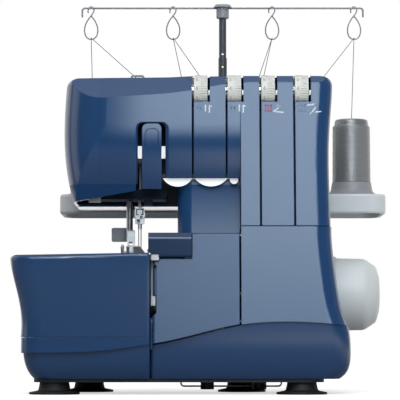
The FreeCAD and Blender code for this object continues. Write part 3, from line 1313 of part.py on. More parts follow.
def presser_lifter():
    """Lever behind the head: a hub, a straight arm and a finger plate that hangs below."""
    left, right, top = LIFTER_PLATE
    hub = rod_x(LIFTER_X - 3.6, LIFTER_X + 4, LIFTER_Y, LIFTER_Z, LIFTER_HUB)
    arm = box(LIFTER_X - 2, LIFTER_X + 1, LIFTER_Y - 5, LIFTER_Y + 5, LIFTER_FOOT + 4, LIFTER_Z)
    plate = prism(rounded(left, max(right, LIFTER_X + 1), LIFTER_FOOT, top, 1.5), on_xz(LIFTER_Y - 5),
                  V(0, 2.5, 0))
    body = fuse([hub, arm, plate])
    return body.cut(rod_x(LIFTER_X - 20, LIFTER_X + 20, LIFTER_Y, LIFTER_Z, LIFTER_STUD + RUN_FIT))


# Spool stand, mast and threads

def top_thread_guides():
    """Bright arches on the top that lead the threads towards their slots."""
    arches = []
    for x, y, half in GUIDES:
        outer = [(x - half, BODY_TOP, 0), (x + half, BODY_TOP, 0), (x + half, BODY_TOP + GUIDE_RISE, 2.5),
                 (x - half, BODY_TOP + GUIDE_RISE, 2.5)]
        gap, crown = half - GUIDE_BAND, GUIDE_RISE - GUIDE_BAND
        inner = [(x - gap, BODY_TOP - 1, 0), (x + gap, BODY_TOP - 1, 0), (x + gap, BODY_TOP + crown, 1),
                 (x - gap, BODY_TOP + crown, 1)]
        start = on_xz(y - GUIDE_THICK / 2)
        arch = prism(outer, start, V(0, GUIDE_THICK, 0))
        arches.append(arch.cut(prism(inner, start, V(0, GUIDE_THICK, 0))))
    return Part.makeCompound(arches)


def stand_ring(inset, z):
    left, right = 2 * MAST_X - STAND_RIGHT + inset, STAND_RIGHT - inset
    corners = rounded(left, right, STAND_FRONT + inset, STAND_REAR - inset, STAND_CORNER - inset)
    return outline(corners, on_xy(z))


def spool_stand():
    """Tray for four cones: a hollow slab with pins, a mast socket and a bracket to the rear cover."""
    rings = [stand_ring(0.8, STAND_TOP), stand_ring(0, STAND_TOP - 2), stand_ring(0, STAND_UNDER + 1.5),
             stand_ring(1.0, STAND_UNDER)]
    hollow = [stand_ring(STAND_RIM, STAND_UNDER - 1), stand_ring(STAND_RIM, STAND_TOP - WALL)]
    body = Part.makeLoft(rings, True, True).cut(Part.makeLoft(hollow, True, True))
    extras = [box(BRACKET_LEFT, BRACKET_RIGHT, BODY_REAR, STAND_FRONT + STAND_RIM + 2, STAND_UNDER + 2,
                  STAND_TOP - 4),
              rod_z(MAST_X, MAST_Y, STAND_UNDER, STAND_TOP + 6, LOWER_RADIUS + 4)]
    for offset in CONE_OFFSETS:
        extras.append(rod_z(MAST_X + offset, CONE_Y, STAND_TOP - 1, CONE_TOP - PIN_DROP, PIN_RADIUS))
    body = body.multiFuse(extras)
    return body.cut(rod_z(MAST_X, MAST_Y, SOCKET_FLOOR, FAR, LOWER_RADIUS)).removeSplitter()


def cone_holders():
    """Flared plastic holders that centre the cones on their pins."""
    bore, sleeve = PIN_RADIUS + RUN_FIT, CONE_FOOT + HOLDER_SLEEVE
    half = [(bore, STAND_TOP, 0), (HOLDER_RADIUS, STAND_TOP, 0.4), (HOLDER_RADIUS, STAND_TOP + 1.4, 0.4),
            (CONE_RADIUS + 2, STAND_TOP + 5, 6), (CONE_RADIUS + 0.6, CONE_FOOT, 0),
            (CONE_BORE - CLEAR, CONE_FOOT, 0),
            (CONE_BORE - 2, sleeve, 1), (bore, sleeve, 0)]
    return Part.makeCompound([turned(half, MAST_X + offset, CONE_Y) for offset in CONE_OFFSETS])


def thread_cones():
    """Four wound cones with a narrower shoulder at the top."""
    half = [(CONE_BORE, CONE_FOOT, 0), (CONE_RADIUS, CONE_FOOT, 1), (CONE_RADIUS - 0.4, CONE_SHOULDER, 2),
            (CONE_RADIUS - 2.4, CONE_TOP - 1.5, 2), (CONE_RADIUS - 4.5, CONE_TOP, 1),
            (CONE_BORE - 1, CONE_TOP, 0)]
    return Part.makeCompound([turned(half, MAST_X + offset, CONE_Y) for offset in CONE_OFFSETS])


def stop_holes(body):
    for z in STOP_HOLES:
        body = body.cut(rod_y(MAST_X, MAST_Y - 10, MAST_Y + 10, z, STOP_RADIUS))
    return body


def mast_lower():
    outer = rod_z(MAST_X, MAST_Y, SOCKET_FLOOR, LOWER_TOP, LOWER_RADIUS)
    return outer.cut(rod_z(MAST_X, MAST_Y, SOCKET_FLOOR + 2, FAR, MIDDLE_RADIUS + RUN_FIT))


def mast_middle():
    outer = rod_z(MAST_X, MAST_Y, MIDDLE_FOOT, MIDDLE_TOP, MIDDLE_RADIUS)
    return stop_holes(outer.cut(rod_z(MAST_X, MAST_Y, MIDDLE_FOOT + 2, FAR, ROD_RADIUS + RUN_FIT)))


def mast_upper():
    """Sliding rod with the flanged cap that grips the guide rod."""
    rim = MAST_TOP - 3
    half = [(0, ROD_FOOT, 0), (ROD_RADIUS, ROD_FOOT, 0.5), (ROD_RADIUS, CAP_FOOT, 0),
            (CAP_RADIUS, CAP_FOOT, 0.8),
            (CAP_RADIUS, rim, 0), (CAP_FLANGE, rim, 0.4), (CAP_FLANGE - 1.8, MAST_TOP, 0.8), (0, MAST_TOP, 0)]
    body = stop_holes(turned(half, MAST_X, MAST_Y))
    return body.cut(rod_x(MAST_X - 20, MAST_X + 20, MAST_Y, GUIDE_Z, GUIDE_WIRE))


def thread_hook(x):
    """Figure-eight wire hook: over the guide rod, crossed, then a drop-shaped eye."""
    top = GUIDE_Z + GUIDE_WIRE + HOOK_WIRE + RUN_FIT
    cross = top - 9.0
    wide = HOOK_HALF
    points = [(-2.8, 1.0, top - 6.0), (-2.6, 1.0, top - 2.0), (0.0, 0.6, top), (2.6, 0.2, top - 2.4),
              (2.0, -0.3, top - 6.0), (0.0, -0.7, cross), (-0.8 * wide, -0.8, cross - 8),
              (-wide, -0.6, HOOK_FOOT + 7),
              (-0.55 * wide, -0.2, HOOK_FOOT + 1.2), (0.0, 0.0, HOOK_FOOT),
              (0.55 * wide, 0.2, HOOK_FOOT + 1.2),
              (wide, 0.6, HOOK_FOOT + 7), (0.8 * wide, 0.9, cross - 8), (0.1, 1.0, cross - 0.6)]
    return tube(Part.Wire([curve([(x + a, MAST_Y + b, c) for a, b, c in points])]), HOOK_WIRE)


def guide_rod():
    """Cross wire with down-turned ends and four twisted thread hooks."""
    left, right, z = MAST_X - GUIDE_HALF, MAST_X + GUIDE_HALF, GUIDE_Z
    path = outline([(left, z - GUIDE_DROP, 0), (left, z, 2.5), (right, z, 2.5), (right, z - GUIDE_DROP, 0)],
                   on_xz(MAST_Y), closed=False)
    return Part.makeCompound([tube(path, GUIDE_WIRE)] + [thread_hook(MAST_X + o) for o in HOOK_OFFSETS])


def run_of_thread(*points):
    """A run of sewing thread through the points, with a small bend at each turn."""
    route = [V(*p) for p in points]
    edges = []
    start = route[0]
    for before, here, after in zip(route, route[1:], route[2:]):
        back = (before - here).normalize()
        ahead = (after - here).normalize()
        half = back.getAngle(ahead) / 2
        depth = THREAD_BEND / math.cos(half) - THREAD_BEND * math.tan(half)
        middle = here + (back + ahead).normalize() * depth
        end = here + ahead * THREAD_BEND
        edges.append(Part.makeLine(start, here + back * THREAD_BEND))
        edges.append(Part.Arc(here + back * THREAD_BEND, middle, end).toShape())
        start = end
    edges.append(Part.makeLine(start, route[-1]))
    return tube(Part.Wire(edges), THREAD_RADIUS)


def spool_threads():
    """Threads rising from the cones to the hooks."""
    runs = []
    for cone, hook in zip(CONE_OFFSETS, HOOK_OFFSETS):
        start = (MAST_X + cone, CONE_Y - PIN_RADIUS - 3, CONE_TOP + THREAD_RADIUS)
        runs.append(run_of_thread(start, (MAST_X + hook, MAST_Y + EYE_STEP, HOOK_EYE + EYE_LIFT)))
    return Part.makeCompound(runs)


def thread_ends():
    """Where each thread reaches the top: three at guide arches, the third at its own slot."""
    ends = [(x, y, GUIDE_EYE) for x, y, half in GUIDES]
    return ends[:2] + [(slot_centre(dial_centres()[2]), SLOT_REAR, GUIDE_EYE)] + ends[2:]


def guide_threads():
    """Threads that lie over the hooks' wire and run down to the top of the machine."""
    runs = []
    for hook, end in zip(HOOK_OFFSETS, thread_ends()):
        x, z = MAST_X + hook, HOOK_EYE + EYE_LIFT
        runs.append(run_of_thread((x, MAST_Y + EYE_STEP / 2, z), (x, MAST_Y - EYE_STEP, z), end))
    return Part.makeCompound(runs)


def top_threads():
    """Threads from the top guides into the slots and between the discs."""
    runs = []
    for start, x in zip(thread_ends(), dial_centres()):
        slot = slot_centre(x)
        edge = (slot, SLOT_REAR - 3, BODY_TOP + 1)
        low = (start[0], start[1], GUIDE_EYE - EYE_DROP)
        runs.append(run_of_thread(low, edge, (slot, DIAL_Y - 5, DIAL_Z + 5)))
    return Part.makeCompound(runs)


# Controls on the right side

def power_switch():
    """Rocker on a pin in the casing's right wall."""
    y, z = SWITCH_AT
    half_y, half_z = SWITCH_HALF[0] - SEAM, SWITCH_HALF[1] - 2.4
    corners = [(ROCKER_X - 4, z - half_z, 0), (ROCKER_X + 4.6, z - half_z, 1), (ROCKER_X + 3.4, z, 0),
               (ROCKER_X + 5.6, z + half_z, 1), (ROCKER_X - 4, z + half_z, 0)]
    rocker = prism(corners, on_xz(y - half_y), V(0, 2 * half_y, 0))
    reach = SWITCH_HALF[0] + CLEAR
    return rocker.fuse(rod_y(ROCKER_X, y - reach, y + reach, z, ROCKER_PIN)).removeSplitter()


def mains_inlet():
    """Two-pin inlet let into the right wall."""
    y, z = INLET_AT
    half_y, half_z = INLET_HALF
    shell = box(INLET_FACE - INLET_DEPTH, INLET_FACE, y - half_y, y + half_y, z - half_z, z + half_z)
    floor = INLET_FACE - INLET_DEPTH + 5
    cavity = prism(rounded(y - 9, y + 9, z - 5, z + 5, 4.5), on_yz(floor), V(30, 0, 0))
    pins = [rod_x(floor - 1, INLET_FACE - 3.6, y + side * INLET_PITCH / 2, z, INLET_PIN) for side in (-1, 1)]
    return shell.cut(cavity).multiFuse(pins).removeSplitter()


def stitch_length_dial():
    """Fluted knob on the right side."""
    y, z = STITCH_AT
    end = KNOB_FACE + KNOB_HEIGHT
    knob = turned_x([(KNOB_FACE, 0, 0), (KNOB_FACE, KNOB_RADIUS, 1), (end, KNOB_RADIUS - 1, 2),
                     (end, 0, 0)], y, z)
    for i in range(KNOB_FLUTES):
        angle = 2 * math.pi * i / KNOB_FLUTES
        reach = KNOB_RADIUS + 0.7
        flute = rod_x(KNOB_FACE + 1.3, end + 2, y + reach * math.cos(angle), z + reach * math.sin(angle), 1.5)
        knob = knob.cut(flute)
    return knob.fuse(rod_x(KNOB_FACE - STEM_REACH, KNOB_FACE + 1, y, z, CONTROL_STEM)).removeSplitter()


def differential_lever():
    """Short lever on the right side for the differential feed."""
    y, z = FEED_LEVER_AT
    hub = rod_x(LEVER_FACE, LEVER_FACE + 4.8, y, z, LEVER_HUB)
    tip = z + LEVER_LENGTH
    arm = prism([(y - 3, z, 0), (y + 3, z, 0), (y + 2.4, tip, 2), (y - 2.4, tip, 2)],
                on_yz(LEVER_FACE + CLEAR), V(3.4, 0, 0))
    return fuse([hub, arm, rod_x(LEVER_FACE - STEM_REACH - 4, LEVER_FACE + 1, y, z, CONTROL_STEM)])


NODES = [
    base_plate, suction_feet, wire_bail, base_left_casing, lower_casing, looper_cover, extension_bed,
    upper_front_cover, rear_cover, take_up_tongue, head_frame, main_frame, shaft_bushes, main_shaft,
    handwheel, drive_pulley, motor_pulley, drive_belt, motor, free_arm_casing, needle_plate, feed_dogs,
    lower_looper, upper_looper, lower_knife, upper_knife, chip_guard, cover_latch, tension_block,
    tension_discs, thread_guide_lips, lamp, needle_bar, needle_clamp, needles, clamp_screws,
    take_up_bar, presser_bar, presser_ankle, presser_foot, presser_lifter, top_thread_guides, spool_stand,
    cone_holders, thread_cones, mast_lower, mast_middle, mast_upper, guide_rod, spool_threads,
    guide_threads, top_threads, power_switch, mains_inlet, stitch_length_dial, differential_lever,
]
SHELL = upper_shell()


def main():
    os.makedirs("parts", exist_ok=True)
    for make in NODES:
        make().exportStep("parts/" + make.__name__ + ".step")
    for i, x in enumerate(dial_centres()):
        tension_dial(x).exportStep("parts/tension_dial_" + str(i + 1) + ".step")


main()
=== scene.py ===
import json
import math
import bmesh
import bpy
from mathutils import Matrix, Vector


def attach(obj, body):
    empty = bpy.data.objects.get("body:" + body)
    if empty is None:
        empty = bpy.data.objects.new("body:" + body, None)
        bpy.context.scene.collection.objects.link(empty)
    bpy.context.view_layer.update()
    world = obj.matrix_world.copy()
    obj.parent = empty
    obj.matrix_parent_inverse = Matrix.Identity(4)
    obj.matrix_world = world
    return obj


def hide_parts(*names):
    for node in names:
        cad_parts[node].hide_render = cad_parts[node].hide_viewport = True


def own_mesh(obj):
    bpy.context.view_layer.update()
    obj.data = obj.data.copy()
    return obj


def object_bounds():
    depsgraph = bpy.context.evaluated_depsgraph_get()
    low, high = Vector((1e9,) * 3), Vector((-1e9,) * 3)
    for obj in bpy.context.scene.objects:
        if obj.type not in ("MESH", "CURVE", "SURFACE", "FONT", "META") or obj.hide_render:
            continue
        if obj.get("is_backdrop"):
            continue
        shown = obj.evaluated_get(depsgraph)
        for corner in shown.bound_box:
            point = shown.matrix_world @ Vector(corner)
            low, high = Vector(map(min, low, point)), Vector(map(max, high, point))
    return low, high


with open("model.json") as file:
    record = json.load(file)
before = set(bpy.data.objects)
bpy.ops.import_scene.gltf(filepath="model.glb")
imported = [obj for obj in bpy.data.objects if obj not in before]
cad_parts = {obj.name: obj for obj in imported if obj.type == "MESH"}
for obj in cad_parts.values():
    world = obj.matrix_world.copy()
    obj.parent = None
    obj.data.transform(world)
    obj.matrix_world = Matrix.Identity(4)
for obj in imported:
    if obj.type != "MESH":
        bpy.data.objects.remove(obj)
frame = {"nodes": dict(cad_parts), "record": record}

CAD_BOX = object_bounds()
NODES = frame["nodes"]
MM = 0.001


# Shader helpers
SHARP = 0.0006
EDGE_SAMPLES = 4


def new_material(name):
    mat = bpy.data.materials.new(name)
    mat.use_nodes = True
    tree = mat.node_tree
    return mat, tree, tree.nodes["Principled BSDF"]


def node(tree, kind, **values):
    made = tree.nodes.new(kind)
    for key, value in values.items():
        setattr(made, key, value)
    return made


def coordinates(tree, scale=(1, 1, 1)):
    """Object coordinates, stretched."""
    coord = node(tree, "ShaderNodeTexCoord")
    mapping = node(tree, "ShaderNodeMapping")
    mapping.inputs["Scale"].default_value = scale
    tree.links.new(coord.outputs["Object"], mapping.inputs["Vector"])
    return mapping.outputs["Vector"]


def axes(tree, where):
    """The X, Y and Z of coordinates."""
    parts = node(tree, "ShaderNodeSeparateXYZ")
    tree.links.new(where, parts.inputs["Vector"])
    return parts.outputs


def noise(tree, where, scale, detail=3.0):
    made = node(tree, "ShaderNodeTexNoise")
    made.inputs["Scale"].default_value = scale
    made.inputs["Detail"].default_value = detail
    tree.links.new(where, made.inputs["Vector"])
    return made.outputs["Fac"]


def spread(tree, factor, low, high, start=0.3, end=0.7):
    """Maps the range of a texture, or another range, to two values."""
    made = node(tree, "ShaderNodeMapRange")
    made.inputs["From Min"].default_value = start
    made.inputs["From Max"].default_value = end
    made.inputs["To Min"].default_value = low
    made.inputs["To Max"].default_value = high
    tree.links.new(factor, made.inputs["Value"])
    return made.outputs["Result"]


def up_to(tree, along, limit):
    """One up to a limit and nothing beyond it."""
    return spread(tree, along, 1.0, 0.0, limit, limit + SHARP)


def calculated(tree, operation, first, second):
    made = node(tree, "ShaderNodeMath", operation=operation)
    tree.links.new(first, made.inputs[0])
    tree.links.new(second, made.inputs[1])
    return made.outputs["Value"]


def times(tree, first, second):
    return calculated(tree, "MULTIPLY", first, second)


def two_tone(tree, factor, first, second):
    """A colour between two, led by a factor; each may be a colour or a socket."""
    made = node(tree, "ShaderNodeMix", data_type="RGBA")
    ends = [s for s in made.inputs if s.type == "RGBA"]
    for end, colour in zip(ends, (first, second)):
        if isinstance(colour, tuple):
            end.default_value = (*colour, 1)
        else:
            tree.links.new(colour, end)
    tree.links.new(factor, made.inputs["Factor"])
    return [s for s in made.outputs if s.type == "RGBA"][0]


def shade(colour, share):
    return tuple(c * share for c in colour)


def bumped(tree, height, depth, **values):
    made = node(tree, "ShaderNodeBump", **values)
    made.inputs["Strength"].default_value = 1.0
    made.inputs["Distance"].default_value = depth
    tree.links.new(height, made.inputs["Height"])
    return made


def relief(tree, bsdf, height, depth, edge=0.0):
    """Bump from a height, over rounded edges."""
    bump = bumped(tree, height, depth)
    if edge:
        bevel = node(tree, "ShaderNodeBevel", samples=EDGE_SAMPLES)
        bevel.inputs["Radius"].default_value = edge
        tree.links.new(bevel.outputs["Normal"], bump.inputs["Normal"])
    tree.links.new(bump.outputs["Normal"], bsdf.inputs["Normal"])


# Kinds of material
SHEEN = 0.5
# Painted shade under the head: share of the column's sheen taken off, from its foot to its top
COLUMN_SHADE_LOSS = (0.3, 0.92)
PLASTIC_DRIFT, PLASTIC_PATCH, PLASTIC_GLOSS = 14.0, 60.0, (0.96, 1.04)
METAL_DRIFT, METAL_TONES, METAL_GLOSS = 30.0, (0.86, 1.08), (0.75, 1.3)
YARN_LINES, YARN_WAVER, YARN_TONES, YARN_DEPTH = 260.0, 3.0, (0.75, 1.15), 0.00006
YARN_PATCH, YARN_ROUGH = 400.0, (0.28, 0.40)
PAINT_SEAM, PAINT_DRIFT, PAINT_PATCH, PAINT_ROUGH = 0.0001, 40.0, 80.0, (0.32, 0.42)
DARK_TONES, PALE_TONES = (0.9, 1.1), (0.95, 1.05)
PAINT_GRAIN, PAINT_DEPTH, PAINT_EDGE = 800.0, 0.00002, 0.0004


def crowned(tree, bsdf, where, axis, start, end, depth, limit=None):
    """Tilts the shading as on a panel that falls away between two places, left of a limit."""
    along = axes(tree, where)
    share = spread(tree, along[axis], 1.0, 0.0, end, start)
    height = times(tree, share, share)
    if limit:
        height = times(tree, height, up_to(tree, along["X"], limit))
    bump = bumped(tree, height, depth, invert=True)
    tree.links.new(bsdf.inputs["Normal"].links[0].from_socket, bump.inputs["Normal"])
    tree.links.new(bump.outputs["Normal"], bsdf.inputs["Normal"])


def paint_column_shade(tree, bsdf, where, low, high, right):
    """Painted shade: takes sheen off the column up to the head that hangs over it, left of a limit."""
    along = axes(tree, where)
    rise = spread(tree, along["Z"], *COLUMN_SHADE_LOSS, low, high)
    loss = times(tree, times(tree, rise, up_to(tree, along["Z"], high)), up_to(tree, along["X"], right))
    tree.links.new(spread(tree, loss, SHEEN, 0.0, 0.0, 1.0), bsdf.inputs["Specular IOR Level"])


def plastic(name, colour, rough, grain=900.0, depth=0.00002, edge=0.0006, vary=0.05, glow=0.0,
            crowns=(), shine=SHEEN, column=None):
    """Moulded plastic: faint colour drift, uneven gloss and a fine grain."""
    mat, tree, bsdf = new_material(name)
    where = coordinates(tree)
    drift = noise(tree, where, PLASTIC_DRIFT)
    fine = noise(tree, where, grain, detail=2.0)
    base = two_tone(tree, drift, shade(colour, 1 - vary), shade(colour, 1 + vary))
    tree.links.new(base, bsdf.inputs["Base Color"])
    low, high = PLASTIC_GLOSS
    uneven = spread(tree, noise(tree, where, PLASTIC_PATCH), rough * low, rough * high)
    tree.links.new(uneven, bsdf.inputs["Roughness"])
    relief(tree, bsdf, fine, depth, edge)
    # A glow makes the plastic emit its own colour: painted light on a part that is no lamp
    bsdf.inputs["Emission Color"].default_value = (*colour, 1)
    bsdf.inputs["Emission Strength"].default_value = glow
    bsdf.inputs["Specular IOR Level"].default_value = shine
    for crown in crowns:
        crowned(tree, bsdf, where, *crown)
    # Painted shade, as less sheen on the column under the head
    if column:
        paint_column_shade(tree, bsdf, where, *column)
    return mat


def metal(name, colour, rough, stretch=(1, 1, 1), grain=700.0, depth=0.00001, edge=0.0003, share=1.0):
    """Worked metal: grain drawn out along one way and uneven polish."""
    mat, tree, bsdf = new_material(name)
    where = coordinates(tree, stretch)
    fine = noise(tree, where, grain, detail=4.0)
    drift = noise(tree, where, METAL_DRIFT)
    base = two_tone(tree, drift, *[shade(colour, tone) for tone in METAL_TONES])
    tree.links.new(base, bsdf.inputs["Base Color"])
    low, high = METAL_GLOSS
    tree.links.new(spread(tree, fine, rough * low, rough * high), bsdf.inputs["Roughness"])
    bsdf.inputs["Metallic"].default_value = share
    relief(tree, bsdf, fine, depth, edge)
    return mat


def spun_thread(name, colour):
    """Wound or twisted yarn: fine slanted lines and a soft sheen."""
    mat, tree, bsdf = new_material(name)
    where = coordinates(tree)
    wave = node(tree, "ShaderNodeTexWave", wave_type="BANDS", bands_direction="Z")
    wave.inputs["Scale"].default_value = YARN_LINES
    wave.inputs["Distortion"].default_value = YARN_WAVER
    wave.inputs["Detail"].default_value = 2.0
    wave.inputs["Detail Scale"].default_value = 3.0
    tree.links.new(where, wave.inputs["Vector"])
    base = two_tone(tree, wave.outputs["Fac"], *[shade(colour, tone) for tone in YARN_TONES])
    tree.links.new(base, bsdf.inputs["Base Color"])
    tree.links.new(spread(tree, noise(tree, where, YARN_PATCH), *YARN_ROUGH), bsdf.inputs["Roughness"])
    bsdf.inputs["Specular IOR Level"].default_value = 1.0
    bsdf.inputs["Metallic"].default_value = 0.5
    relief(tree, bsdf, wave.outputs["Fac"], YARN_DEPTH)
    return mat


def capped_paint(name, low, high, level, glow=0.0):
    """Dark paint below a height and pale plastic above it; a glow makes both emit their own colour, as
    painted light.
    """
    mat, tree, bsdf = new_material(name)
    where = coordinates(tree)
    above = spread(tree, axes(tree, where)["Z"], 0.0, 1.0, level - PAINT_SEAM, level + PAINT_SEAM)
    drift = noise(tree, where, PAINT_DRIFT)
    dark = two_tone(tree, drift, *[shade(low, tone) for tone in DARK_TONES])
    pale = two_tone(tree, drift, *[shade(high, tone) for tone in PALE_TONES])
    paint = two_tone(tree, above, dark, pale)
    tree.links.new(paint, bsdf.inputs["Base Color"])
    tree.links.new(paint, bsdf.inputs["Emission Color"])
    bsdf.inputs["Emission Strength"].default_value = glow
    tree.links.new(spread(tree, noise(tree, where, PAINT_PATCH), *PAINT_ROUGH), bsdf.inputs["Roughness"])
    relief(tree, bsdf, noise(tree, where, PAINT_GRAIN, detail=2.0), PAINT_DEPTH, PAINT_EDGE)
    return mat


BLUE = (0.0130, 0.050, 0.134)
MAST_GREY = (0.062, 0.066, 0.072)


def casing_blue(name, colour=BLUE, rough=0.20, **extra):
    """The casing's glossy plastic."""
    return plastic(name, colour, rough, grain=1400.0, depth=0.000002, edge=0.0007, vary=0.02, **extra)


def ink(name, colour, rough=0.5):
    """Printed colour, or painted shade, without rounded edges."""
    return plastic(name, colour, rough, depth=0.00001, edge=0.0)


# The looks of the frame's material slots, and of single parts that differ
LOOKS = {
    "blue_plastic": casing_blue("blue_plastic"),
    "ivory_plastic": plastic("ivory_plastic", (0.62, 0.61, 0.56), 0.42, 1200.0, 0.00001, 0.0003),
    "grey_plastic": plastic("grey_plastic", (0.60, 0.61, 0.595), 0.42, 1100.0, 0.000015),
    "tray_plastic": plastic("tray_plastic", (0.58, 0.595, 0.59), 0.45, 1000.0, 0.00002),
    "white_plastic": plastic("white_plastic", (0.80, 0.80, 0.79), 0.25, 1100.0, 0.000006, 0.0003, 0.02),
    "black_plastic": plastic("black_plastic", (0.010, 0.010, 0.011), 0.45, 800.0, 0.00004, 0.0004, 0.2),
    "black_rubber": plastic("black_rubber", (0.006, 0.006, 0.006), 0.65, 500.0, 0.00006, 0.0005, 0.2),
    "cast_alloy": metal("cast_alloy", (0.30, 0.30, 0.31), 0.50, (1, 1, 1), 400.0, 0.00008),
    "steel": metal("steel", (0.45, 0.45, 0.46), 0.30, (1, 1, 0.08)),
    "chrome": metal("chrome", (0.80, 0.80, 0.81), 0.14, (1, 1, 1), 900.0, 0.000004),
    "bronze": metal("bronze", (0.55, 0.36, 0.16), 0.35),
    "motor_paint": plastic("motor_paint", (0.012, 0.012, 0.014), 0.45),
    "lamp_lens": plastic("lamp_lens", (0.30, 0.31, 0.31), 0.35),
    "mast_paint": plastic("mast_paint", MAST_GREY, 0.34, 700.0, 0.00002, 0.0003),
    "wire": metal("wire", (0.27, 0.27, 0.28), 0.50, (0.08, 1, 1), share=0.3),
    "thread": spun_thread("thread", (0.25, 0.25, 0.25)),
}
CAP_FOOT, COLLAR_FOOT = 0.3675, 0.2146
CAP_GREY, COLLAR_WHITE, BAR_BLACK = (0.27, 0.275, 0.29), (0.95, 0.95, 0.94), (0.012, 0.012, 0.014)
HEAD_FOOT, HEAD_RIGHT, COLUMN_FOOT = 0.1905, 0.0305, 0.146
HEAD_CROWNS = [("X", -0.055, -0.098, 0.0017), ("Z", 0.268, HEAD_FOOT, 0.0030, HEAD_RIGHT)]
# Foot, top and right limit of the painted shade on the column
COLUMN_SHADE = (COLUMN_FOOT, HEAD_FOOT, HEAD_RIGHT)
# White for the guide lips, which glows a little: painted light
GLOWING_WHITE = plastic("white_with_painted_glow", (0.92, 0.92, 0.91), 0.25, 1100.0, 0.000006, 0.0003, 0.01, glow=0.3)
OWN_LOOKS = {
    "mast_upper": capped_paint("mast_and_cap", MAST_GREY, CAP_GREY, CAP_FOOT),
    # The head frame: a dark casting, made near-black navy with little sheen as painted shade under the
    # head
    "head_frame": plastic("dark_casting_painted_shade", (0.003, 0.008, 0.018), 0.60, 500.0, 0.00004, shine=0.1),
    "tension_block": plastic("dark_block", (0.004, 0.010, 0.022), 0.60, 700.0, 0.00003, shine=0.1),
    "presser_lifter": metal("satin_plate", (0.30, 0.30, 0.315), 0.50, share=0.3),
    "needle_clamp": metal("satin_nickel", (0.86, 0.86, 0.87), 0.55, share=0.2),
    "presser_foot": metal("worn_nickel", (0.46, 0.47, 0.465), 0.50, share=0.4),
    "thread_guide_lips": GLOWING_WHITE,
    # The take-up bar's white part glows: painted light
    "take_up_bar": capped_paint("bar_and_collar_painted_glow", BAR_BLACK, COLLAR_WHITE, COLLAR_FOOT, glow=0.5),
    "top_thread_guides": LOOKS["wire"],
    "upper_front_cover": casing_blue("blue_crowned", crowns=HEAD_CROWNS, column=COLUMN_SHADE),
    # The looper cover: casing blue with less sheen than the casing around it
    "looper_cover": casing_blue("blue_less_sheen", rough=0.21, shine=0.38),
    # The chip guard: casing blue darkened and with less sheen, as painted shade
    "chip_guard": casing_blue("blue_painted_shade", shade(BLUE, 0.65), shine=0.4),
    "cone_holders": plastic("holder_plastic", (0.27, 0.27, 0.275), 0.45, 1000.0, 0.00002),
}
# Dark ink for marks, also used as painted shadow in seams and slots and on screw sockets
DARK_INK_AND_PAINTED_SHADE = ink("ink", (0.02, 0.02, 0.022), 0.6)
DIAL_INK = ink("dial_ink", (0.28, 0.27, 0.24), 0.6)
PALE_INK = ink("pale_ink", (0.62, 0.66, 0.72))
FAINT_INK = ink("faint_ink", (0.13, 0.19, 0.30))
RED_INK = ink("red_ink", (0.30, 0.07, 0.13))

for row in frame["record"]["subparts"]:
    mesh = NODES[row["node"]].data
    mesh.materials.clear()
    mesh.materials.append(LOOKS[row["material_slot"]])
for name, look in OWN_LOOKS.items():
    NODES[name].data.materials[0] = look


# Mesh helpers
PRINT_STEP = 0.35


def piece(name, points, faces, look, body, smooth=True):
    """A mesh from points in millimetres, riding on a body."""
    mesh = bpy.data.meshes.new(name)
    mesh.from_pydata([tuple(Vector(p) * MM) for p in points], [], faces)
    mesh.validate()
    mesh.update()
    if smooth:
        mesh.polygons.foreach_set("use_smooth", [True] * len(mesh.polygons))
    mesh.materials.append(look)
    obj = bpy.data.objects.new(name, mesh)
    bpy.context.scene.collection.objects.link(obj)
    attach(obj, body)
    return obj


def rings_to_faces(rings, sides, close_ends=True):
    """Faces between rings of points that follow one another."""
    faces = []
    for i in range(rings - 1):
        for j in range(sides):
            k = (j + 1) % sides
            faces.append((i * sides + j, i * sides + k, (i + 1) * sides + k, (i + 1) * sides + j))
    if close_ends:
        faces.append(tuple(range(sides))[::-1])
        faces.append(tuple((rings - 1) * sides + j for j in range(sides)))
    return faces


def rounded_block(name, low, high, bevel, look):
    """A small block with rounded edges on the machine."""
    made = bmesh.new()
    bmesh.ops.create_cube(made, size=1.0)
    for vert in made.verts:
        vert.co = Vector([l + (c + 0.5) * (h - l) for l, h, c in zip(low, high, vert.co)])
    bmesh.ops.bevel(made, geom=made.edges[:], offset=bevel, segments=3, affect="EDGES", profile=0.5)
    points = [v.co[:] for v in made.verts]
    faces = [tuple(v.index for v in f.verts) for f in made.faces]
    made.free()
    piece(name, points, faces, look, "machine", True)


def print_mesh():
    return {"points": [], "faces": []}


def stroke(sheet, route, wide, place):
    """A printed line of even width through flat points, laid on a surface."""
    for (a0, b0), (a1, b1) in zip(route, route[1:]):
        length = math.hypot(a1 - a0, b1 - b0)
        steps = max(1, int(length / PRINT_STEP))
        na, nb = -(b1 - b0) / length * wide / 2, (a1 - a0) / length * wide / 2
        ta, tb = (a1 - a0) / length * wide / 2, (b1 - b0) / length * wide / 2
        start = len(sheet["points"])
        for s in range(steps + 1):
            share = s / steps
            a = a0 - ta + (a1 - a0 + 2 * ta) * share
            b = b0 - tb + (b1 - b0 + 2 * tb) * share
            sheet["points"].append(place(a + na, b + nb))
            sheet["points"].append(place(a - na, b - nb))
        for s in range(steps):
            k = start + 2 * s
            sheet["faces"].append((k, k + 1, k + 3, k + 2))


def arc(a, b, radius, start, end, steps=10):
    turns = [math.radians(start + (end - start) * i / steps) for i in range(steps + 1)]
    return [(a + radius * math.cos(t), b + radius * math.sin(t)) for t in turns]


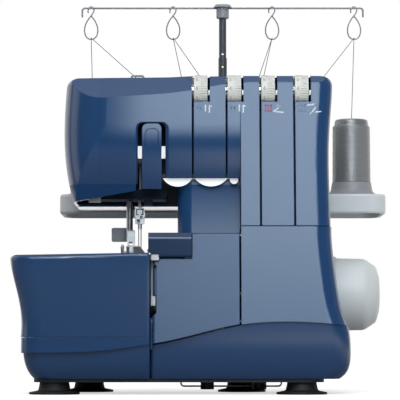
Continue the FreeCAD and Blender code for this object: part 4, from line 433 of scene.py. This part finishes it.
# Thread cones: a lathe form whose surface carries the wound thread's ridges
MAST_X, MAST_Y, CONE_Y = 16.4, 66.0, 96.0
CONE_OFFSETS = (-129.0, -32.0, 32.0, 129.0)
CONE_RADIUS, CONE_FOOT, CONE_SHOULDER, CONE_TOP, CONE_BORE = 18.9, 206.6, 262.6, 269.8, 9.0
CONE_TAPER, CONE_SIDES = 0.4, 80
HEEL = [(-0.5, 0.1), (0.0, 0.5)]
WOUND_LOW, WOUND_HIGH, WOUND_INSIDE, WOUND_FOOT = 0.9, 0.8, 2.0, 0.8
SHOULDER = [(-0.5, 0.0), (-1.3, 0.7)]
NECK_INSET, NECK_TAPER, NECK_FOOT, NECK_STEP, NECK_ROWS = 2.0, 0.08, 1.2, 0.8, 6
CROWN = [(-2.8, -0.9), (-3.8, -0.2), (-5.0, 0.0)]
MOUTH = [(0.5, 0.0), (-0.4, -1.0)]
WINDING, WINDING_STARTS, WINDING_DEPTH = 0.85, 3, 0.13
CROSSING, CROSSING_STARTS, CROSSING_DEPTH = 9.0, 2, 0.05


def cone_profile():
    """Radius and height up the outside, over the shoulder and into the bore."""
    rows = [(CONE_BORE, CONE_FOOT + HEEL[0][1])]
    rows += [(CONE_RADIUS + r, CONE_FOOT + z) for r, z in HEEL]
    z = CONE_FOOT + WOUND_LOW
    while z < CONE_SHOULDER - WOUND_HIGH:
        share = (z - CONE_FOOT) / (CONE_SHOULDER - CONE_FOOT)
        rows.append((CONE_RADIUS - CONE_TAPER * share, z))
        z += WINDING / 4
    rows += [(CONE_RADIUS + r, CONE_SHOULDER + z) for r, z in SHOULDER]
    for i in range(NECK_ROWS):
        rows.append((CONE_RADIUS - NECK_INSET - NECK_TAPER * i, CONE_SHOULDER + NECK_FOOT + NECK_STEP * i))
    rows += [(CONE_RADIUS + r, CONE_TOP + z) for r, z in CROWN]
    rows += [(CONE_BORE + r, CONE_TOP + z) for r, z in MOUTH]
    return rows


def thread_cone(i, offset):
    rows = cone_profile()
    points = []
    for radius, z in rows:
        wound = radius > CONE_BORE + WOUND_INSIDE and z > CONE_FOOT + WOUND_FOOT
        for j in range(CONE_SIDES):
            turn = 2 * math.pi * j / CONE_SIDES
            lay = math.sin(2 * math.pi * z / WINDING + WINDING_STARTS * turn)
            cross = math.sin(2 * math.pi * z / CROSSING - CROSSING_STARTS * turn)
            reach = radius + (WINDING_DEPTH * lay + CROSSING_DEPTH * cross if wound else 0.0)
            points.append((MAST_X + offset + reach * math.cos(turn), CONE_Y + reach * math.sin(turn), z))
    faces = rings_to_faces(len(rows), CONE_SIDES, False)
    return piece("cone_winding_%d" % i, points, faces, LOOKS["thread"], "machine", True)


cones = [thread_cone(i + 1, offset) for i, offset in enumerate(CONE_OFFSETS)]
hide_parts("thread_cones")

# Places of the dials and of the thread slots beside them
DIAL_Y, DIAL_Z, DIAL_RADIUS, DIAL_HALF = -81.0, 277.0, 15.0, 6.2
DIAL_FIRST, DIAL_PITCH, DIAL_PLAY, SLOT_HALF = -5.3, 30.8, 0.2, 0.85
DIALS = [DIAL_FIRST + DIAL_PITCH * i for i in range(4)]
SLOTS = [x - DIAL_HALF - DIAL_PLAY - SLOT_HALF for x in DIALS]

# Sewing threads: three plies twisted along each run
HOOK_OFFSETS = (-130.2, -49.0, 49.0, 130.2)
HOOK_EYE, EYE_STEP, EYE_LOW, FALL = 348.15, 1.2, 293.2, 50.0
CONE_LEAVE, CONE_CLEAR = 5.6, 0.3
ENDS = [(-64.5, -44.0, EYE_LOW), (-3.0, -30.0, EYE_LOW), (SLOTS[2], -71.0, EYE_LOW), (106.0, 8.0, EYE_LOW)]
SLOT_EDGE, SLOT_INSIDE = (-74.0, 292.0), (-86.0, 282.0)
THREAD, PLIES, PLY_SIDES, PLY_STEP, PLY_TURN = 0.42, 3, 9, 0.6, 2.4
PLY_BODY, PLY_RIDGE = 0.86, 0.14
SIDEWAYS = Vector((0.3, 0.5, 0.81))


def plied(name, route):
    """A three-ply thread through the points of its route."""
    points = []
    count = 0
    done = 0.0
    for a, b in zip(route, route[1:]):
        a, b = Vector(a), Vector(b)
        way = (b - a).normalized()
        side = way.cross(SIDEWAYS).normalized()
        up = way.cross(side)
        steps = max(2, int((b - a).length / PLY_STEP))
        for s in range(steps + 1):
            here = a.lerp(b, s / steps)
            twist = 2 * math.pi * (done + (b - a).length * s / steps) / PLY_TURN
            for k in range(PLY_SIDES):
                turn = 2 * math.pi * k / PLY_SIDES
                radius = THREAD * (PLY_BODY + PLY_RIDGE * math.cos(PLIES * turn + twist))
                lay = turn + twist / PLIES
                points.append(here + (side * math.cos(lay) + up * math.sin(lay)) * radius)
            count += 1
        done += (b - a).length
    return piece(name, points, rings_to_faces(count, PLY_SIDES), LOOKS["thread"], "machine", True)


def follow_mast(obj, foot):
    """Gives the run its own copy of its mesh."""
    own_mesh(obj)


for i, end in enumerate(ENDS):
    x = MAST_X + HOOK_OFFSETS[i]
    foot = (MAST_X + CONE_OFFSETS[i], CONE_Y - CONE_LEAVE, CONE_TOP + CONE_CLEAR)
    over = [(x, MAST_Y + EYE_STEP, HOOK_EYE), (x, MAST_Y - EYE_STEP, HOOK_EYE)]
    rising = plied("rising_thread_%d" % (i + 1), [foot, over[0]])
    follow_mast(rising, foot[2])
    falling = plied("falling_thread_%d" % (i + 1), over + [end])
    follow_mast(falling, EYE_LOW)
    led = plied("led_thread_%d" % (i + 1), [end, (SLOTS[i], *SLOT_EDGE), (SLOTS[i], *SLOT_INSIDE)])
    if i == 0:
        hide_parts("spool_threads")
        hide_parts("guide_threads")
        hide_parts("top_threads")

# Numerals and ticks on the dials
DIGITS = [
    [arc(0.5, 0.7, 0.3, 0, 180) + arc(0.5, 0.3, 0.3, 180, 360) + [(0.8, 0.7)]],
    [[(0.3, 0.8), (0.55, 1.0), (0.55, 0.0)]],
    [arc(0.5, 0.72, 0.28, 160, -40) + [(0.2, 0.0), (0.8, 0.0)]],
    [arc(0.48, 0.75, 0.25, 150, -90) + arc(0.48, 0.25, 0.27, 90, -150)],
    [[(0.65, 0.0), (0.65, 1.0), (0.15, 0.3), (0.85, 0.3)]],
    [[(0.75, 1.0), (0.3, 1.0), (0.25, 0.55)] + arc(0.48, 0.3, 0.3, 110, -150)],
    [[(0.65, 1.0), (0.3, 0.55)] + arc(0.5, 0.3, 0.3, 150, -210)],
    [[(0.2, 1.0), (0.8, 1.0), (0.4, 0.0)]],
    [arc(0.5, 0.75, 0.24, -90, 270), arc(0.5, 0.27, 0.27, 90, 450)],
    [arc(0.5, 0.7, 0.3, -30, 330) + [(0.76, 0.55), (0.5, 0.0)]],
]
FRONT_DIGIT, DIGIT_RISE, DIGIT_LEFT, DIGIT_WIDE, DIGIT_HIGH, DIGIT_LINE = 4, 1.5, -4.9, 2.6, 3.6, 0.5
TICKS, TICK_RIGHT, LONG_TICK, SHORT_TICK, TICK_LINE = 4, -0.5, 1.3, 0.8, 0.25
DIAL_LIFT, FRONT_LIFT, CLAMP_LIFT = 0.04, 0.06, 0.05


def on_dial(x):
    """Lays flat millimetres on a dial's rim: across it, then up round it from the front."""
    def place(a, b):
        turn = b / DIAL_RADIUS
        reach = DIAL_RADIUS + DIAL_LIFT
        return (x + a, DIAL_Y - reach * math.cos(turn), DIAL_Z + reach * math.sin(turn))
    return place


def dial_marks(i, x):
    sheet = print_mesh()
    place = on_dial(x)
    pitch = 2 * math.pi * DIAL_RADIUS / len(DIGITS)
    for k, routes in enumerate(DIGITS):
        middle = (k - FRONT_DIGIT) * pitch + DIGIT_RISE
        for route in routes:
            flat = [(DIGIT_LEFT + DIGIT_WIDE * a, middle + DIGIT_HIGH * (b - 0.5)) for a, b in route]
            stroke(sheet, flat, DIGIT_LINE, place)
        for part in range(TICKS):
            spot = middle + pitch * part / TICKS
            reach = LONG_TICK if part == 0 else SHORT_TICK
            stroke(sheet, [(TICK_RIGHT - reach, spot), (TICK_RIGHT, spot)], TICK_LINE, place)
    piece("dial_marks_%d" % i, sheet["points"], sheet["faces"], DIAL_INK, "dial_%d" % i, False)


# Marks on the dials, white stops beside them and liners in the thread slots
STOP_LEFT, STOP_RIGHT, STOP_BEVEL = 0.5, 2.3, 0.3
STOP_LOW, STOP_HIGH = (-95.4, 272.4), (-87.6, 276.8)
LINER_HALF, LINER_BEVEL = 0.84, 0.2
LINER_LOW, LINER_HIGH = (-72.2, 282.6), (-70.4, 290.0)
for i, x in enumerate(DIALS):
    dial_marks(i + 1, x)
    edge = x + DIAL_HALF
    low, high = (edge + STOP_LEFT, *STOP_LOW), (edge + STOP_RIGHT, *STOP_HIGH)
    rounded_block("dial_stop_%d" % (i + 1), low, high, STOP_BEVEL, LOOKS["white_plastic"])
    low, high = (SLOTS[i] - LINER_HALF, *LINER_LOW), (SLOTS[i] + LINER_HALF, *LINER_HIGH)
    rounded_block("slot_liner_%d" % (i + 1), low, high, LINER_BEVEL, LOOKS["white_plastic"])

# Pictograms under the dials
FRONT_LEAN, FRONT_FOOT_Y, FRONT_FOOT_Z = 0.15, -115.05, 145.0
FAINT_PAIR = [
    [(-8.2, 262.2), (-8.2, 257.6)],
    [(-5.2, 262.2), (-5.2, 257.6)],
    [(-8.2, 260.0), (-5.2, 260.0)],
]
NEEDLE_PAIR = [
    [(-1.0, 262.6), (-1.0, 257.4)],
    [(2.6, 262.6), (2.6, 256.2)],
    [(2.6, 262.6), (4.2, 261.8)],
]
SQUARE = [
    [(53.8, 262.6), (58.8, 262.6), (58.8, 257.2), (53.8, 257.2), (53.8, 262.6)],
    [(56.3, 262.0), (56.3, 257.8)],
]
LOW_LOOPER = [
    [(61.2, 257.0), (66.0, 260.6)] + arc(65.2, 261.6, 1.3, -40, 150),
    [(63.0, 256.6), (69.6, 256.0)],
]
HIGH_LOOPER = [
    [(92.2, 262.8), (98.4, 263.6)] + arc(98.2, 261.9, 1.7, 80, -30) + [(95.6, 255.6), (94.6, 255.0)],
    [(99.4, 256.2), (104.0, 256.8)],
]
SQUARE_PITCH = 31.0
FAINT_LINE, MARK_LINE, LOW_LOOPER_LINE = 1.5, 1.1, 1.0


def front_plane(z):
    """The Y of the leaning front plane at a height."""
    return FRONT_FOOT_Y + FRONT_LEAN * (z - FRONT_FOOT_Z)


def on_front(a, b):
    """A place just before the leaning front plane."""
    return (a, front_plane(b) - FRONT_LIFT, b)


def show(name, routes, wide, look, place=on_front, body="machine"):
    sheet = print_mesh()
    for route in routes:
        stroke(sheet, route, wide, place)
    piece(name, sheet["points"], sheet["faces"], look, body, False)


def shifted(routes, across):
    return [[(a + across, b) for a, b in route] for route in routes]


for i in range(2):
    show("faint_needles_%d" % (i + 1), shifted(FAINT_PAIR, DIAL_PITCH * i), FAINT_LINE, FAINT_INK)
    show("needles_mark_%d" % (i + 1), shifted(NEEDLE_PAIR, DIAL_PITCH * i), MARK_LINE, PALE_INK)
show("looper_mark_3", LOW_LOOPER, LOW_LOOPER_LINE, PALE_INK)
show("colour_mark_3", SQUARE, MARK_LINE, RED_INK)
show("looper_mark_4", HIGH_LOOPER, MARK_LINE, PALE_INK)
show("colour_mark_4", shifted(SQUARE, SQUARE_PITCH), MARK_LINE, FAINT_INK)

# Shadow strip in the seam between the column and the looper cover
SEAM_LOW, SEAM_HIGH, STRIP_BEVEL = (-13.0, -114.7, 144.45), (31.2, -113.2, 144.95), 0.1
rounded_block("seam_shadow_strip", SEAM_LOW, SEAM_HIGH, STRIP_BEVEL, DARK_INK_AND_PAINTED_SHADE)

# Sloping rim inside the take-up window
WINDOW_LEFT, WINDOW_RIGHT, WINDOW_TOP, WINDOW_CORNER = -64.5, -34.5, 247.0, 6.0
RIM_FOOT_LEFT, RIM_FOOT_RIGHT, RIM_STEPS = 191.0, 196.2, 16
RIM_LEFT, RIM_RIGHT, RIM_TOP, RIM_CORNER = 1.9, 3.0, 0.7, 5.0
RIM_INSET, RIM_DEPTH, RIM_THICK = 0.1, 2.2, 0.3
UNDERCUT_TOP, UNDERCUT_RADIUS = 244.0, 100.0


def head_front(z):
    """The Y of the head's front: the leaning plane, which turns under in an arc."""
    if z > UNDERCUT_TOP:
        return front_plane(z)
    lean = math.atan(FRONT_LEAN)
    rise = z - UNDERCUT_TOP + UNDERCUT_RADIUS * math.sin(lean)
    centre = front_plane(UNDERCUT_TOP) + UNDERCUT_RADIUS * math.cos(lean)
    return centre - math.sqrt(UNDERCUT_RADIUS ** 2 - rise ** 2)


def arch(left, right, top, corner):
    """Points up the left of the window, round its two corners and down the right."""
    def side(x, foot):
        return [(x, foot + (top - corner - foot) * i / RIM_STEPS) for i in range(RIM_STEPS)]
    bends = arc(left + corner, top - corner, corner, 180, 90)
    bends += arc(right - corner, top - corner, corner, 90, 0)
    return side(left, RIM_FOOT_LEFT) + bends + side(right, RIM_FOOT_RIGHT)[::-1]


outer = arch(WINDOW_LEFT, WINDOW_RIGHT, WINDOW_TOP, WINDOW_CORNER)
inner = arch(WINDOW_LEFT + RIM_LEFT, WINDOW_RIGHT - RIM_RIGHT, WINDOW_TOP - RIM_TOP, RIM_CORNER)
rim = []
for (x0, z0), (x1, z1) in zip(outer, inner):
    rim.append((x0, head_front(z0) + RIM_INSET, z0))
    rim.append((x1, head_front(z1) + RIM_DEPTH, z1))
    rim.append((x0, head_front(z0) + RIM_DEPTH + RIM_THICK, z0))
rim_faces = rings_to_faces(len(outer), 3)
piece("window_rim", rim, rim_faces, LOOKS["blue_plastic"], "machine", False)

# Shadow strips before the guide lips' upper edges, in the window's right slot and two thread slots
LIP_SHADE_LOW, LIP_SHADE_HIGH = (-93.1, 196.1), (-92.7, 199.6)
SHADED = [(-41.0, -37.2)] + [(x - LINER_HALF, x + LINER_HALF) for x in SLOTS[:2]]
for i, (left, right) in enumerate(SHADED):
    low, high = (left, *LIP_SHADE_LOW), (right, *LIP_SHADE_HIGH)
    rounded_block("lip_shade_%d" % (i + 1), low, high, STRIP_BEVEL, DARK_INK_AND_PAINTED_SHADE)

# Dark outline on the needle clamp, and dark faces as painted shade in its screw sockets
NEEDLE_X, CLAMP_FACE, SCREW_PROUD = -61.6, -66.6, 0.84
OUTLINE = [[(-1.4, 164.6), (-2.8, 164.6), (-2.8, 169.6), (2.8, 169.6), (2.8, 164.6), (1.4, 164.6)]]
OUTLINE_LINE, SOCKET_RADIUS, SOCKET_SIDES = 0.9, 0.79, 24
SOCKETS = [(-1.3, 159.0), (1.5, 162.2)]


def on_clamp(a, b):
    return (NEEDLE_X + a, CLAMP_FACE - CLAMP_LIFT, b)


def socket(i, across, z):
    """A dark round face on a clamp screw's head: painted shade for its socket."""
    points = []
    for k in range(SOCKET_SIDES):
        turn = 2 * math.pi * k / SOCKET_SIDES
        x = NEEDLE_X + across + SOCKET_RADIUS * math.cos(turn)
        points.append((x, CLAMP_FACE - SCREW_PROUD, z + SOCKET_RADIUS * math.sin(turn)))
    piece("screw_socket_painted_shade_%d" % i, points, [tuple(range(SOCKET_SIDES))], DARK_INK_AND_PAINTED_SHADE, "needle", False)


show("clamp_outline", OUTLINE, OUTLINE_LINE, DARK_INK_AND_PAINTED_SHADE, on_clamp, "needle")
for i, (across, z) in enumerate(SOCKETS):
    socket(i + 1, across, z)


# Studio: pale floor, a soft card before the machine, screens behind it, boxes above and beside it
FRONT_FIELD = [(-1.6, -2.7, 0.1), (2.2, -2.7, 0.1), (2.2, -2.7, 2.2), (-1.6, -2.7, 2.2)]
FRONT_TINT, FRONT_GLOW = (0.74, 0.88, 1.0), 8.2
FRONT_RAMPS = [("X", -0.55, -0.05), ("X", 1.22, 0.81), ("Z", 0.45, 1.20), ("Z", 2.20, 1.86)]
FAR = 1.3
SCREENS = {
    "left_screen": (-2.2, -0.5, 1.4, 1.1),
    "right_screen": (0.7, 2.2, 1.4, 1.3),
    "low_screen": (-0.5, 0.5, 0.13, 2.2),
}
BOXES = {
    "key_box": ((-0.3, -2.0, 2.3), (0, 0, 0.15), (1.2, 0.8), 35),
    "left_box": ((-1.5, 0.2, 0.7), (0, 0, 0.18), (0.7, 1.4), 3),
    "right_box": ((1.5, 0.2, 0.7), (0, 0, 0.18), (0.7, 1.4), 0.8),
    "top_box": ((0, -0.1, 1.8), (0, 0, 0), (1.6, 1.2), 6),
    "crest_box": ((0, -0.1, 1.85), (0, 0, 0), (1.6, 1.2), 5.5),
}
MATT_BOX = "top_box"
FLOOR_HALF, FLOOR_ROUGH, FLOOR_PATCH = 6, 0.85, 3.0
FLOOR_TONES = ((0.34, 0.34, 0.34), (0.36, 0.36, 0.36))
FLOOR_RAMPS = [("X", -0.08, 0.08), ("X", 0.83, 0.67), ("Y", -1.53, -1.37), ("Y", -0.37, -0.53)]
SIDE_RAMPS = [("X", 0.16, 0.40), ("X", 1.67, 1.47), ("Y", -0.81, -0.57), ("Y", 1.00, 0.77)]
FLOOR_GLOW, SIDE_GLOW = 1.5, 0.8
SEEN_FLOOR, SEEN_GLOW = (0.70, 0.70, 0.70, 1), 0.60
WHITE = (1, 1, 1, 1)
FILL, FILL_STRENGTH = (0.90, 0.93, 1.0, 1), 0.14


def soft_box(name, place, aim, size, power):
    lamp = bpy.data.lights.new(name, "AREA")
    lamp.shape = "RECTANGLE"
    lamp.size, lamp.size_y = size
    lamp.energy = power
    obj = bpy.data.objects.new(name, lamp)
    obj.location = place
    obj.rotation_euler = (Vector(aim) - Vector(place)).to_track_quat("-Z", "Y").to_euler()
    bpy.context.scene.collection.objects.link(obj)
    return obj


def staged(name, corners, look):
    mesh = bpy.data.meshes.new(name)
    mesh.from_pydata(corners, [], [(0, 1, 2, 3)])
    mesh.materials.append(look)
    obj = bpy.data.objects.new(name, mesh)
    bpy.context.scene.collection.objects.link(obj)
    obj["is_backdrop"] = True
    return obj


def fading(tree, strength, ramps):
    """A glow that rises from nothing to its strength along each ramp."""
    along = axes(tree, node(tree, "ShaderNodeTexCoord").outputs["Object"])
    axis, dark, full = ramps[0]
    share = spread(tree, along[axis], 0.0, strength, dark, full)
    for axis, dark, full in ramps[1:]:
        share = times(tree, share, spread(tree, along[axis], 0.0, 1.0, dark, full))
    return share


def light_card(name, corners, strength, tint=(1, 1, 1)):
    """A glowing card that the camera doesn't see."""
    look, tree, bsdf = new_material(name)
    bsdf.inputs["Base Color"].default_value = (0, 0, 0, 1)
    bsdf.inputs["Specular IOR Level"].default_value = 0.0
    bsdf.inputs["Emission Color"].default_value = (*tint, 1)
    bsdf.inputs["Emission Strength"].default_value = strength
    staged(name, corners, look).visible_camera = False
    return tree, bsdf.inputs["Emission Strength"]


def seen_apart(tree, lit, seen, end):
    """Shows one shader to the camera and gives another to the light."""
    path = node(tree, "ShaderNodeLightPath")
    mix = node(tree, "ShaderNodeMixShader")
    tree.links.new(path.outputs["Is Camera Ray"], mix.inputs["Fac"])
    tree.links.new(lit, mix.inputs[1])
    tree.links.new(seen, mix.inputs[2])
    tree.links.new(mix.outputs["Shader"], tree.nodes[end].inputs["Surface"])


tree, glow = light_card("front_card", FRONT_FIELD, 0.0, FRONT_TINT)
tree.links.new(fading(tree, FRONT_GLOW, FRONT_RAMPS), glow)
for name, (x0, x1, high, strength) in SCREENS.items():
    light_card(name, [(x0, FAR, 0), (x1, FAR, 0), (x1, FAR, high), (x0, FAR, high)], strength)
for name, (place, aim, size, power) in BOXES.items():
    soft_box(name, place, aim, size, power).visible_glossy = name != MATT_BOX

floor_look, tree, bsdf = new_material("floor")
bsdf.inputs["Roughness"].default_value = FLOOR_ROUGH
pale = two_tone(tree, noise(tree, coordinates(tree), FLOOR_PATCH), *FLOOR_TONES)
tree.links.new(pale, bsdf.inputs["Base Color"])
bsdf.inputs["Emission Color"].default_value = WHITE
lit = fading(tree, FLOOR_GLOW, FLOOR_RAMPS)
beside = fading(tree, SIDE_GLOW, SIDE_RAMPS)
tree.links.new(calculated(tree, "ADD", lit, beside), bsdf.inputs["Emission Strength"])
seen = node(tree, "ShaderNodeBsdfPrincipled")
seen.inputs["Base Color"].default_value = SEEN_FLOOR
seen.inputs["Roughness"].default_value = FLOOR_ROUGH
seen.inputs["Emission Color"].default_value = WHITE
seen.inputs["Emission Strength"].default_value = SEEN_GLOW
seen_apart(tree, bsdf.outputs["BSDF"], seen.outputs["BSDF"], "Material Output")
near_left, near_right = (-FLOOR_HALF, -FLOOR_HALF, 0), (FLOOR_HALF, -FLOOR_HALF, 0)
staged("floor", [near_left, near_right, (FLOOR_HALF, FAR, 0), (-FLOOR_HALF, FAR, 0)], floor_look)

world = bpy.data.worlds.new("studio")
bpy.context.scene.world = world
world.use_nodes = True
tree = world.node_tree
seen = tree.nodes["Background"]
seen.inputs["Color"].default_value = WHITE
seen.inputs["Strength"].default_value = 1.0
fill = node(tree, "ShaderNodeBackground")
fill.inputs["Color"].default_value = FILL
fill.inputs["Strength"].default_value = FILL_STRENGTH
seen_apart(tree, fill.outputs["Background"], seen.outputs["Background"], "World Output")

# Camera at the photograph's angle
LENS, SENSOR, CLIP_END = 193.95, 36.0, 50
STANDPOINT, LOOK_UP = (-0.006, -2.052, 0.040), 3.98
camera = bpy.data.cameras.new("camera")
camera.lens = LENS
camera.sensor_width = SENSOR
camera.sensor_fit = "HORIZONTAL"
camera.clip_end = CLIP_END
view = bpy.data.objects.new("camera", camera)
view.location = STANDPOINT
view.rotation_euler = (math.radians(90 + LOOK_UP), 0, 0)
bpy.context.scene.collection.objects.link(view)
bpy.context.scene.camera = view
bpy.context.scene.view_settings.view_transform = "Standard"

boxes = {"cad": CAD_BOX, "visual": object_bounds()}
{key: [[float(v) for v in p] for p in box] for key, box in boxes.items()}
